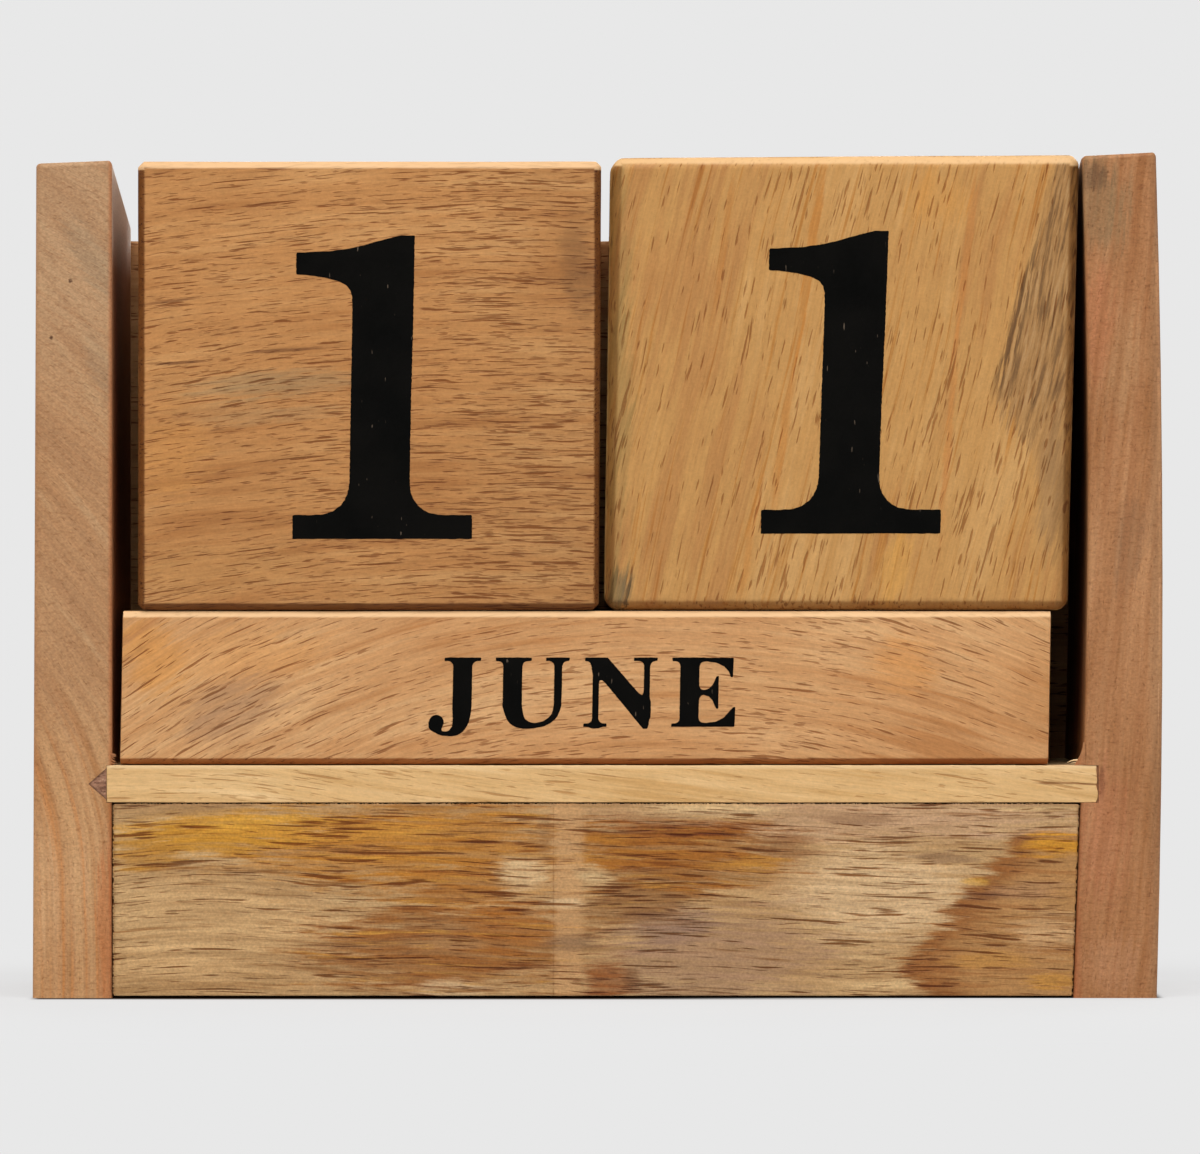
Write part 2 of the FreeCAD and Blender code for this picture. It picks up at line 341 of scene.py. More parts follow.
def left_cube_wood():
    """Tan wood: its grain climbs to the right on the left side and runs level on the right."""
    finish = Finish("left_cube_wood")
    middle = finish.x + 10.0
    lift = middle * middle * 0.0016 + waved(finish, 0.9, (26, 26, 14), 2)
    grain = finish.vector(finish.x, finish.z + lift + finish.y * finish.y * 0.005, finish.y)
    wood = Wood(finish, grain, 1)
    wood.body(tone(166, 111, 61), tone(181, 127, 74), tone(192, 141, 87), 2.8, 50)
    wood.figures(
        ((-43.2, 81.5), (11, 1.6), 4, (146, 120, 84), 0.5),
        ((-46, 77.5), (12, 1.2), 2, (158, 124, 84), 0.4),
        ((-57, 72), (5, 6), 0, (194, 134, 70), 0.4),
        ((-50, 57), (11, 3), 4, (190, 140, 84), 0.4),
        ((-2.5, 97), (2.2, 7), 8, (122, 84, 50), 0.5),
        ((-55.5, 84.4), (4.6, 0.22), 3, (104, 62, 32), 0.8),
        ((-42.0, 86.0), (6.0, 0.24), 4, (112, 68, 36), 0.7),
        ((-57.5, 92.4), (3.4, 0.2), 7, (112, 68, 36), 0.6),
    )
    wood.shade(1 - finish.x.rise(-26, 0) * 0.09 - finish.z.rise(96, 56) * 0.05)
    wood.fibres(0.22, 0.15, 0.12)
    crowd = finish.x.rise(-40, -5) * 0.03 + (wood.clouds - 0.5) * 0.16 - 0.01
    layers = [(1.7, 0.12, 0.62, 0.85), (0.8, 0.09, 0.61, 0.6), (3.4, 0.12, 0.66, 0.9)]
    wood.pores(layers, PORE, crowd)
    # Edge tones: pale rubbed wood and painted highlight on top, stain and painted shade on the other
    # edges.
    wood.edges("cube_left", 1.0, tone(226, 184, 136), (0.36, 0.26, 0.16, 1))
    return wood.close()


def grey_wedge(wood):
    """A grey decayed wedge: right of a slanting line, whose tip is at a height of 81."""
    finish = wood.finish
    climb = finish.z - 81
    upper = finish.x - 52.9 - climb * 0.25 + wood.ragged * 1.0
    lower = finish.x - 51.5 + climb * 0.6 + wood.ragged * 5
    edge = upper.lower(lower)
    wedge = edge.rise(-0.2, 1.4) * (0.35 + finish.z.rise(70, 82) * 0.65)
    veins = finish.cloud(wood.grain, (6, 0.5, 0.5), 3.0, 0.6, 29)
    wood.tint(wedge * 0.75, tone(152, 112, 68))
    wood.tint(wedge * veins.rise(0.46, 0.64) * 0.7, tone(98, 68, 40))
    wood.tint(wedge * veins.rise(0.46, 0.36) * 0.5, tone(182, 144, 98))
    rim = (edge - 0.6).far().rise(1.4, 0.2) * veins.rise(0.42, 0.54)
    wood.tint(rim * finish.z.rise(78, 83) * finish.z.rise(108, 92) * 0.75, tone(84, 56, 32))


def right_cube_wood():
    """Golden wood, its grain upright and leaning right, with a grey decayed wedge at the right."""
    finish = Finish("right_cube_wood")
    lean = finish.z * -0.24 + waved(finish, 1.1, (26, 26, 30), 4)
    grain = finish.vector(finish.z, finish.x + lean + finish.y * finish.y * 0.005, finish.y)
    wood = Wood(finish, grain, 11)
    wood.body(tone(175, 124, 70), tone(186, 138, 79), tone(195, 149, 91), 4.0, 60)
    wood.veins(9, 0.3, 0.54, 0.7, (0.84, 0.68, 0.46, 1))
    wood.figures(
        ((28.2, 98), (0.7, 13), -8, (180, 116, 48), 0.65),
        ((24.6, 74), (0.6, 12), -8, (182, 118, 52), 0.5),
        ((16.5, 98), (0.5, 9), -8, (176, 112, 50), 0.45),
        ((48.9, 98), (0.5, 12), -7, (186, 118, 56), 0.5),
        ((46.6, 74), (0.5, 12), -5, (186, 118, 56), 0.5),
        ((20.5, 62), (0.6, 10), -9, (184, 120, 54), 0.4),
        ((44.5, 106), (3.5, 3.5), 0, (196, 136, 64), 0.5),
        ((39.5, 57), (2.0, 5), -8, (204, 150, 76), 0.5),
    )
    grey_wedge(wood)
    wood.figures(
        ((60.5, 68), (2.0, 9), -3, (148, 112, 72), 0.6),
        ((2.6, 54), (1.6, 3.2), -14, (106, 90, 64), 0.75),
        ((2.2, 55), (0.35, 3.0), -14, (52, 38, 24), 0.8),
        ((3.9, 53.6), (0.3, 2.0), -14, (60, 44, 28), 0.7),
        ((2.2, 80), (2.2, 32), -1, (146, 116, 66), 0.6),
        ((62.0, 62), (1.4, 12), -2, (134, 96, 54), 0.55),
    )
    wood.fibres(0.15, 0.12, 0.12)
    crowd = (wood.clouds - 0.5) * 0.22 + finish.x.rise(8, 1) * 0.03
    wood.pores([(3.0, 0.2, 0.652, 0.8), (1.3, 0.15, 0.645, 0.75)], (0.5, 0.33, 0.18, 1), crowd)
    # Edge tones: pale rubbed wood and painted highlight on top, stain and painted shade on the other
    # edges.
    wood.edges("cube_right", 1.3, tone(222, 180, 128), (0.6, 0.5, 0.38, 1), lean=0.02)
    return wood.close()


def bar_wood():
    """Pinkish tan wood: an arch of pores, climbing at the left and falling at the right."""
    finish = Finish("bar_wood")
    bend = finish.x * finish.x * 0.00425 - finish.x * 0.08
    drift = waved(finish, 1.0, (22, 22, 10), 6)
    grain = finish.vector(finish.x, finish.z + bend + drift, finish.y)
    wood = Wood(finish, grain, 21)
    wood.body(tone(178, 122, 72), tone(196, 145, 95), tone(208, 161, 111), 2.2, 44)
    wood.figures(
        ((-58.8, 45), (3.8, 5.0), 20, (204, 142, 74), 0.6),
        ((40.8, 44.2), (4.2, 3.6), -15, (204, 142, 80), 0.6),
        ((-48, 45.5), (13, 3.2), 4, (206, 146, 84), 0.4),
        ((-48.5, 38), (7, 3.6), 20, (168, 126, 90), 0.55),
        ((-10, 33.5), (30, 1.6), 0, (186, 128, 76), 0.4),
        ((58, 40), (2.5, 6), -10, (186, 134, 84), 0.4),
    )
    wood.fibres(0.22, 0.15, 0.12)
    crowd = (wood.clouds - 0.5) * 0.24
    wood.pores([(2.0, 0.16, 0.648, 0.8), (0.9, 0.11, 0.635, 0.6)], PORE, crowd)
    # Edge tones for the bars: stain and painted shade, with rubbed wood and a painted highlight on top.
    stain_and_shade = (0.56, 0.38, 0.25, 1)
    wood.edges("month_bar_front", 0.9, tone(226, 186, 138), stain_and_shade, BAR_LEAN, BAR_PITCH)
    return wood.close()


def shelf_wood():
    """Pale wood, whose grain falls to the right."""
    finish = Finish("shelf_wood")
    drift = waved(finish, 0.7, (30, 30, 12), 8)
    fall = finish.x.rise(-66, -30) * 0.13
    grain = finish.vector(finish.x, finish.z + (finish.x + 50) * fall + drift, finish.y)
    wood = Wood(finish, grain, 31)
    wood.body(tone(200, 156, 98), tone(216, 175, 119), tone(228, 191, 138), 1.6, 34)
    wood.fibres(0.16, 0.12, 0.08)
    crowd = (wood.clouds - 0.5) * 0.3
    wood.pores([(3.2, 0.2, 0.645, 0.65), (1.0, 0.12, 0.63, 0.5)], (0.54, 0.39, 0.24, 1), crowd)
    split = (finish.z - 28.5 + (finish.x - 62) * 0.02 + wood.ragged * 0.2).far()
    wood.darken(split.rise(0.22, 0.06) * finish.x.rise(57.5, 59.5) * 0.8, (0.4, 0.28, 0.2, 1))
    wood.tint(finish.z.rise(30.2, 30.7) * 0.5, tone(240, 208, 160))
    return wood.close()


def drawer_grounds(wood):
    """The pale ground left of the joint, and the pale and mauve ground right of it."""
    wood.figures(
        ((-52, 9.5), (15, 6.5), 0, (204, 166, 116), 0.6),
        ((30, 23.6), (34, 3.0), 0, (188, 150, 114), 0.75),
        ((37.5, 14), (13, 6), -4, (208, 174, 130), 0.8),
        ((34.5, 23.8), (5.0, 0.9), 0, (142, 104, 72), 0.6),
        ((46.0, 18.6), (4.2, 0.8), -4, (132, 96, 64), 0.6),
        ((15, 5), (15, 6.5), 6, (162, 126, 94), 0.8),
        ((9, 9.5), (7, 2.6), 10, (144, 112, 92), 0.65),
    )


def right_patches(wood):
    """The brown patches right of the joint. Gives back how far the warm ones cover the wood."""
    warm = wood.figure((6.5, 13.5), (8.5, 3.6), 16, tone(134, 88, 44), 0.75)
    warm = warm.higher(wood.figure((11.0, 19.6), (15, 5.2), -2, tone(152, 94, 34), 0.95))
    wood.figures(
        ((10.0, 22.6), (9, 1.3), 0, (140, 80, 32), 0.6),
        ((24.5, 20.0), (4.5, 2.2), 0, (134, 88, 50), 0.6),
        ((20, 18), (5, 0.9), 4, (190, 132, 50), 0.6),
        ((14, 25.0), (9, 1.3), 0, (206, 172, 124), 0.85),
        ((1.4, 2.2), (3.6, 2.9), 0, (140, 82, 38), 0.85),
        ((4.6, 2.6), (1.2, 1.6), 0, (96, 58, 30), 0.5),
    )
    return warm


def left_patches(wood, warm):
    """The gold, orange and brown patches left of the joint, with their warm cover added."""
    warm = warm.higher(wood.figure((-26.0, 20.2), (24, 5.6), -1, tone(176, 116, 42), 0.9))
    warm = warm.higher(wood.figure((-17.0, 14.6), (11, 3.4), 8, tone(164, 106, 42), 0.75))
    wood.figures(
        ((-50.0, 22.0), (16, 3.0), 4, (192, 136, 46), 0.9),
        ((-46.0, 23.4), (9, 0.9), 6, (212, 156, 60), 0.6),
        ((-59.5, 18.6), (5, 2.4), 0, (172, 120, 48), 0.7),
        ((-30.0, 22.2), (12, 1.2), 0, (190, 132, 52), 0.6),
    )
    warm = warm.higher(wood.figure((-20, 6.5), (18, 6.0), 3, tone(144, 90, 40), 0.85))
    wood.figures(
        ((-12, 9.5), (6, 3), 0, (160, 98, 36), 0.7),
        ((-20, 7.2), (5, 0.9), 0, (176, 134, 88), 0.5),
        ((-56, 25.2), (10, 1.0), 3, (168, 130, 86), 0.8),
        ((-10.1, 16.4), (3.4, 2.4), 0, (206, 172, 126), 0.85),
        ((-18.9, 1.0), (5, 1.2), 0, (198, 166, 124), 0.75),
    )
    return warm


def end_flame(wood):
    """The orange and brown flame at the right end, with its gold and tan patches."""
    finish = wood.finish
    slope = finish.x - (finish.z * 0.87 + 37.0).higher(43.6 - finish.z * 0.6) + wood.ragged * 5.5
    slope = slope + (wood.streak - 0.5) * 6
    flame = slope.rise(-1.5, 1.7) * finish.z.rise(22.8, 20.8)
    wood.tint(flame * 0.85, tone(172, 124, 72))
    wood.tint(flame * slope.rise(8, 0.5) * 0.85, tone(138, 82, 34))
    wood.tint(flame * wood.streak.rise(0.5, 0.62) * 0.5, tone(134, 78, 32))
    wood.figures(
        ((60.6, 20.2), (4.5, 1.4), 0, (196, 136, 42), 0.92),
        ((60.8, 2.3), (3.4, 1.1), 0, (190, 134, 54), 0.75),
        ((60.0, 8.8), (4.6, 2.6), 0, (194, 154, 108), 0.75),
        ((57.0, 14.4), (5.0, 1.2), 3, (168, 126, 88), 0.6),
        ((50.4, 15.5), (1.8, 0.6), 0, (200, 150, 62), 0.7),
        ((50.8, 13.5), (2.6, 0.7), 0, (118, 74, 44), 0.6),
        ((52.0, 5.0), (5.0, 1.0), 0, (182, 130, 62), 0.6),
    )


def glued_joint(wood):
    """A narrow strip of plainer wood, and the line where the two boards meet."""
    finish = wood.finish
    joint = (finish.x + 3.9 + wood.ragged * 1.1).far().rise(2.6, 1.2)
    wood.tint(joint * 0.8, tone(190, 146, 98))
    wood.figures(
        ((-6.9, 21.5), (1.1, 3.0), 0, (146, 100, 58), 0.55),
        ((-0.6, 16.2), (2.6, 1.0), -8, (206, 174, 126), 0.7),
        ((-3.2, 7.2), (3.6, 1.1), 0, (118, 88, 64), 0.6),
        ((-4.2, 12.6), (2.4, 0.7), 0, (214, 182, 138), 0.6),
    )
    seam = (finish.x + 5.85).far().rise(0.16, 0.04)
    wood.darken(seam * (0.12 + wood.streak.rise(0.45, 0.62) * 0.3), PORE)


def drawer_front_wood():
    """Figured wood: gold, orange and brown flames in a pale mauve ground, and a glued joint."""
    finish = Finish("drawer_front_wood")
    climb = (finish.x + 50).rise(6, -12) * (finish.x + 50) * -0.07
    drift = waved(finish, 0.9, (26, 26, 9), 12)
    rise = finish.z + drift + climb + (finish.x + 20) * 0.03
    wood = Wood(finish, finish.vector(finish.x, rise, finish.y), 41)
    wood.body(tone(166, 126, 80), tone(184, 146, 99), tone(200, 166, 118), 2.0, 36)
    drawer_grounds(wood)
    warm = left_patches(wood, right_patches(wood))
    end_flame(wood)
    glued_joint(wood)
    # Gold and dark brown threads within the warm patches.
    threads = finish.cloud(wood.grain, (14, 0.8, 0.8), 3.0, 0.65, 48)
    wood.tint(warm * threads.rise(0.54, 0.66) * 0.55, tone(200, 146, 62))
    wood.darken(warm * threads.rise(0.45, 0.34), (0.62, 0.5, 0.42, 1))
    wood.shade(0.98 + (wood.streak - 0.5) * 0.5)
    wood.veins(5.5, 0.3, 0.56, 0.74, (0.55, 0.4, 0.26, 1))
    # Painted shade: darker within 0.4 mm of the three edges that meet the shelf and the planks, as shade
    # in the thin gaps round the front.
    rim = (finish.x + 64.2).lower(63.9 - finish.x).lower(25.7 - finish.z) + wood.ragged * 0.25
    wood.darken(rim.rise(0.4, 0.05) * 0.35, (0.5, 0.38, 0.26, 1))
    wood.fibres(0.22, 0.18, 0.3)
    crowd = (wood.clouds - 0.5) * 0.3 - 0.02 + warm * 0.025
    layers = [(3.2, 0.19, 0.628, 0.95), (1.5, 0.11, 0.622, 0.7), (5.0, 0.2, 0.642, 0.95)]
    wood.pores(layers, (0.34, 0.2, 0.1, 1), crowd)
    return wood.close()


def speckled(wood, tint, share):
    """Very short soft dashes across the plank, as on wood cut across its fibres."""
    finish = wood.finish
    dot = finish.cloud(finish.place, (1.1, 1.1, 0.4), 2.0, 0.6, wood.seed + 40).rise(0.52, 0.74)
    wood.darken(dot * share, tint)


def left_side_wood():
    """Grey tan with slanting clouds at the top, and warm arched growth bands at the foot."""
    finish = Finish("left_side_wood")
    above = (finish.z - 14).higher(0)
    across = finish.x + above * above * 0.0104 + finish.y * 0.3 + waved(finish, 0.5, (9, 9, 20), 51)
    wood = Wood(finish, finish.vector(finish.z, across, finish.y), 51)
    foot = finish.z.rise(46, 24)
    wood.body(tone(166, 118, 74), tone(182, 136, 92), tone(196, 152, 108), 1.5, 40)
    wood.tint((1 - foot) * 0.7, tone(172, 129, 90))
    wood.tint(finish.z.rise(70, 98) * 0.6, tone(180, 146, 110))
    slanted = finish.vector(finish.x + finish.z * 0.8, finish.z, finish.y)
    slant = finish.cloud(slanted, (3, 26, 9), 3.0, 0.6, 55)
    wood.tint((1 - foot) * slant.rise(0.5, 0.64) * 0.45, tone(158, 116, 80))
    wood.tint((1 - foot) * slant.rise(0.46, 0.34) * 0.35, tone(190, 156, 116))
    growth = finish.cloud(finish.vector(finish.z, across, 0), (90, 1.3, 9), 2.0, 0.6, 58)
    wood.tint(foot * growth.rise(0.5, 0.64) * 0.6, tone(196, 128, 70))
    wood.tint(foot * growth.rise(0.48, 0.36) * 0.5, tone(202, 158, 110))
    wood.tint((1 - foot) * growth.rise(0.5, 0.62) * 0.25, tone(160, 112, 74))
    wood.figures(
        ((-67.0, 98), (2.0, 6), 30, (150, 128, 100), 0.4),
        ((-66.0, 84), (1.6, 5), 20, (154, 128, 98), 0.35),
        ((-65.4, 10), (1.0, 12), 0, (180, 106, 58), 0.6),
        ((-70.0, 95.2), (0.28, 0.28), 0, (84, 52, 34), 0.9),
        ((-72.5, 87.7), (0.26, 0.26), 0, (90, 56, 36), 0.8),
    )
    wood.tint((finish.x + 74.2).rise(0.6, -0.7) * 0.4, tone(172, 116, 74))
    wood.tint((finish.x + 64.9).rise(-0.3, 0.3) * 0.5, tone(170, 96, 54))
    # Painted light: the top of the plank's inner face, above the back panel, is made pale as if lit where
    # light falls into the slot beside the cube.
    inner = (finish.x + 64.55).rise(-0.1, 0.05) * finish.y.rise(-34.8, -34.0)
    wood.tint(inner * finish.z.rise(96, 102) * 0.85, tone(228, 208, 188))
    wood.fibres(0.1, 0.12, 0.32)
    speckled(wood, (0.62, 0.48, 0.38, 1), 0.5)
    wood.pores([(0.3, 0.1, 0.66, 0.4)], PORE)
    return wood.close()


def right_side_wood():
    """Reddish brown, olive and mottled at the top, with fine lines across it near the foot."""
    finish = Finish("right_side_wood")
    lean = waved(finish, 1.2, (9, 9, 30), 61) - finish.z * 0.1 - finish.y * 0.3
    wood = Wood(finish, finish.vector(finish.z, finish.x + lean, finish.y), 61)
    wood.body(tone(150, 99, 58), tone(165, 114, 73), tone(178, 128, 86), 2.0, 34)
    wood.figures(
        ((66.9, 28.8), (0.35, 2.2), 0, (112, 72, 44), 0.8),
        ((66.5, 106), (3.6, 7.5), 12, (136, 108, 74), 0.6),
        ((66.0, 109.0), (2.2, 2.0), 0, (92, 68, 46), 0.6),
        ((66.5, 90), (2.2, 8), 0, (176, 108, 70), 0.4),
        ((70.0, 84), (2.4, 7), -8, (176, 134, 92), 0.4),
        ((70.5, 60), (2.2, 7), -12, (134, 96, 66), 0.45),
        ((66.8, 22), (3.6, 9), 0, (174, 110, 74), 0.45),
        ((68.5, 4), (3.4, 4), 0, (180, 130, 92), 0.5),
    )
    wood.tint((finish.x - 73.6).rise(-0.8, 0.5) * 0.4, tone(142, 108, 76))
    wood.tint((finish.x - 64.0).rise(0.6, -0.6) * 0.5, tone(170, 92, 54))
    wood.fibres(0.09, 0.13, 0.32)
    growth = finish.cloud(finish.vector(finish.z, finish.x + lean, 0), (90, 1.3, 9), 2.0, 0.6, 68)
    wood.tint(growth.rise(0.5, 0.62) * 0.25, tone(146, 92, 54))
    wood.tint(growth.rise(0.48, 0.38) * 0.2, tone(182, 134, 92))
    lines = finish.cloud(finish.place, (9, 9, 0.3), 2.0, 0.5, 67)
    wood.shade(1 + (lines - 0.5) * 0.3 * (0.25 + finish.z.rise(40, 8) * 0.75))
    speckled(wood, (0.6, 0.46, 0.36, 1), 0.5)
    wood.pores([(0.3, 0.1, 0.66, 0.4)], PORE)
    return wood.close()


def filler_paste():
    """Flaky brown filling, darker along its two slanting sides."""
    finish = Finish("filler_paste")
    wood = Wood(finish, finish.vector(finish.x + finish.z * 0.6, finish.z, finish.y), 91)
    wood.body(tone(118, 80, 60), tone(150, 108, 84), tone(178, 136, 108), 0.6, 2.0)
    flakes = finish.cloud(finish.place, (0.9, 0.9, 0.5), 3.0, 0.7, 93)
    wood.tint(flakes.rise(0.54, 0.66) * 0.7, tone(196, 156, 126))
    wood.tint(flakes.rise(0.46, 0.36) * 0.7, tone(94, 60, 44))
    run = (finish.x + 67.6) * 0.87
    side = (finish.z - 28.42 + run).lower(28.42 - finish.z + run) + wood.ragged * 0.2
    wood.tint(side.rise(0.5, 0.1) * 0.8, tone(98, 62, 42))
    wood.fibres(0.2, 0.2, 0.3)
    wood.pores([(0.4, 0.12, 0.6, 0.7)], PORE)
    return wood.close()


def plain_wood(name, tones, seed, pore=0.6):
    """Undecorated wood, its grain running across."""
    finish = Finish(name)
    drift = waved(finish, 1.0, (30, 30, 12), seed)
    wood = Wood(finish, finish.vector(finish.x, finish.z + drift, finish.y), seed)
    wood.body(*tones, 3.0, 50)
    wood.fibres(0.16, 0.12)
    wood.pores([(2.6, 0.15, 0.63, pore), (1.0, 0.1, 0.62, pore)], PORE)
    return wood.close()


def dress(node, material):
    """Gives a carried-over node its material."""
    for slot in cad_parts[node].material_slots:
        slot.material = material


PLAIN_TONES = (tone(176, 128, 80), tone(196, 150, 98), tone(212, 168, 118))
BACK_TONES = (tone(150, 105, 65), tone(168, 122, 78), tone(188, 142, 94))

pale_wood = shelf_wood()
drawer_wood = plain_wood("drawer_wood", PLAIN_TONES, 71)
month_wood = bar_wood()
front_wood = drawer_front_wood()
cube_woods = {"cube_left": left_cube_wood(), "cube_right": right_cube_wood()}
left_wood = left_side_wood()
right_wood = right_side_wood()
dress("side_left", left_wood)
dress("side_right", right_wood)
dress("shelf", pale_wood)
dress("base_board", pale_wood)
dress("drawer_front", front_wood)
for board in ("drawer_side_left", "drawer_side_right", "drawer_back", "drawer_bottom"):
    dress(board, drawer_wood)
dress("back_panel", plain_wood("back_wood", BACK_TONES, 81, 0.9))
dress("wood_filler", filler_paste())

# Blocks: the date cubes and the month bars


def ripple(points, size, seed, waves=7):
    """Smooth unevenness from -1 to 1.

    A sum of sine waves that run in seeded directions, each about size millimetres from crest
    to crest, cut off at the ends.
    """
    draw = np.random.default_rng(seed)
    ways = draw.normal(size=(waves, 3))
    ways /= np.linalg.norm(ways, axis=1)[:, None]
    turns = 2 * np.pi / size * draw.uniform(0.6, 1.5, waves)
    starts = draw.uniform(0, 2 * np.pi, waves)
    total = np.sin(points @ (ways * turns[:, None]).T + starts).sum(axis=1)
    return np.clip(total / (1.3 * math.sqrt(waves)), -1, 1)


def add_piece(name, points, faces, material, body):
    """Makes a piece from points in millimetres and faces, and lets it ride on a body."""
    mesh = bpy.data.meshes.new(name)
    mesh.from_pydata((points * MM).tolist(), [], faces)
    mesh.validate()
    mesh.materials.append(material)
    piece = bpy.data.objects.new(name, mesh)
    bpy.context.scene.collection.objects.link(piece)
    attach(piece, body)
    return piece


def cuts(length, edge, step):
    """Where a side is cut: close together within the edges, about step apart between them."""
    rim = edge * np.array([0, 0.15, 0.4, 0.7, 0.9, 1.0, 1.12])
    inner = np.linspace(rim[-1], length - rim[-1], round(length / step))
    return np.concatenate([rim[:-1], inner, length - rim[-2::-1]])


def box_skin(size, edges, steps):
    """The skin of a box from zero to size: six grids, joined where they meet."""
    lines = [cuts(*axis) for axis in zip(size, edges, steps)]
    points, faces, count = [], [], 0
    for fixed in range(3):
        along, over = (fixed + 1) % 3, (fixed + 2) % 3
        for end in (0, 1):
            first, second = np.meshgrid(lines[along], lines[over], indexing="ij")
            spots = np.empty((first.size, 3))
            spots[:, along], spots[:, over] = first.ravel(), second.ravel()
            spots[:, fixed] = size[fixed] * end
            index = np.arange(first.size).reshape(first.shape) + count
            quads = [index[:-1, :-1], index[1:, :-1], index[1:, 1:], index[:-1, 1:]]
            quads = np.stack(quads if end else quads[::-1], axis=-1).reshape(-1, 4)
            points.append(spots)
            faces.append(quads)
            count += first.size
    points, faces = np.vstack(points), np.vstack(faces)
    _, kept, where = np.unique(points.round(4), axis=0, return_index=True, return_inverse=True)
    return points[kept], where.ravel()[faces]


# The power of the taken-off edges: close to 1, so they are nearly flat.
EDGE_POWER = 1.12
DEEPEST_DIP = 0.05


class Block:
    """A squared block of wood.

    It is worked out in a box of its own, from zero to size, and then set into the case. Corners
    are the four of its front, from the foot's left and anticlockwise, each across and up. Edge
    is how far its bevels reach in from each pair of faces: across, back and up.
    """

    def __init__(self, corners, front, depth, edge, seed, left_edge=None):
        self.corners = np.array(corners, float)
        self.front = front
        self.size = np.array([corners[1][0] - corners[0][0], depth, corners[2][1] - corners[1][1]])
        self.edge = np.array(edge, float)
        self.left_edge = self.edge if left_edge is None else np.array(left_edge, float)
        self.seed = seed

    def set_in(self, points):
        """Box places as places in the case.

        The front outline is mapped bilinearly between its corners. Each planed face then dips
        inwards by up to a few hundredths of a millimetre, by a slow unevenness.
        """
        share = points / self.size
        across, back, up = share[:, :1], share[:, 1], share[:, 2:]
        foot = self.corners[0] * (1 - across) + self.corners[1] * across
        head = self.corners[3] * (1 - across) + self.corners[2] * across
        spot = foot * (1 - up) + head * up
        placed = np.column_stack([spot[:, 0], self.front + back * self.size[1], spot[:, 1]])
        outward = (2 * share - 1) ** 9
        dip = DEEPEST_DIP * (0.5 + 0.5 * ripple(points, 22, self.seed))
        return placed - outward * dip[:, None]

    def skin(self, steps=(1.2, 1.2, 1.2)):
        """The block's surface, with its edges taken off.

        A point p of the box is split into the nearest point q of the box shrunk by the edge r,
        and the rest (p - q) / r. The rest is made 1 long in the sense of a power mean: power 1
        gives a flat chamfer, 2 a quarter round. The edge's width wanders a little along the
        block, and the left edge may be wider and rounder.
        """
        points, faces = box_skin(self.size, np.maximum(self.edge, self.left_edge), steps)
        left = np.clip(1 - points[:, 0] / self.size[0] * 12, 0, 1)[:, None]
        wander = 0.9 + 0.1 * ripple(points, 7, self.seed + 1)[:, None]
        edge = (self.edge + (self.left_edge - self.edge) * left) * wander
        core = np.clip(points, edge, self.size - edge)
        rest = (points - core) / edge
        power = EDGE_POWER + 0.5 * left[:, 0] * (self.left_edge[0] > self.edge[0])
        length = (np.abs(rest) ** power[:, None]).sum(axis=1) ** (1 / power)
        rest = rest / np.maximum(length, 1e-9)[:, None]
        return self.set_in(core + rest * edge), faces


def add_block(node, block, material, body):
    points, faces = block.skin()
    piece = add_piece(node + "_block", points, faces.tolist(), material, body)
    piece.data.polygons.foreach_set("use_smooth", np.ones(len(piece.data.polygons), bool))
    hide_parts(node)


CUBE_FOOT = 51.5
CUBE_DEPTH = 61.4
BLOCK_FRONT = FRONT + 0.4
LEFT_CUBE = Block(
    [(-61.06, CUBE_FOOT), (0.2, CUBE_FOOT), (0.5, 111.1), (-61.06, 111.1)],
    BLOCK_FRONT, CUBE_DEPTH, (0.9, 0.9, 0.9), 101,
)
RIGHT_CUBE = Block(
    [(0.82, CUBE_FOOT), (62.44, CUBE_FOOT), (64.0, 112.0), (1.68, 111.6)],
    BLOCK_FRONT, CUBE_DEPTH, (1.25, 1.25, 1.25), 102, left_edge=(1.9, 1.9, 1.9),
)
BAR_CORNERS = [(-63.5, 31.0), (59.9, 31.0), (60.3, 51.4), (-63.1, 51.4)]
BARS = {
    place: Block(BAR_CORNERS, BLOCK_FRONT + turn * BAR_PITCH, BAR_SIZE, (0.12, 0.85, 0.85), 103 + turn)
    for turn, place in enumerate(("front", "middle", "rear"))
}

add_block("cube_left", LEFT_CUBE, cube_woods["cube_left"], "date_cube_left")
add_block("cube_right", RIGHT_CUBE, cube_woods["cube_right"], "date_cube_right")
for place, bar in BARS.items():
    add_block("month_bar_" + place, bar, month_wood, "bar_" + place)

# The shelf's torn end, and the slivers that the saw left


def make_shelf_board():
    """The shelf: a block whose right end is torn.

    Near that end a point moves back by the set-back of its height, plus a fine unevenness,
    times a share that grows to 1 at the very end.
    """
    low, high = (np.array(corner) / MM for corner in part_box("shelf"))
    corners = [(low[0], low[2]), (high[0], low[2]), (high[0], high[2]), (low[0], high[2])]
    board = Block(corners, low[1], high[1] - low[1], (0.1, 0.1, 0.1), 110)
    points, faces = board.skin((2.0, 2.0, 0.3))
    heights, set_backs = zip(*TORN_END)
    back = np.interp(points[:, 2] - low[2], heights, set_backs)
    back += 0.04 * (1 + ripple(points * (1, 0.3, 1), 1.3, 111))
    share = np.clip((points[:, 0] - high[0] + TORN_REACH) / TORN_REACH, 0, 1)
    points[:, 0] -= share * back
    piece = add_piece("shelf_board", points, faces.tolist(), pale_wood, "case")
    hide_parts("shelf")


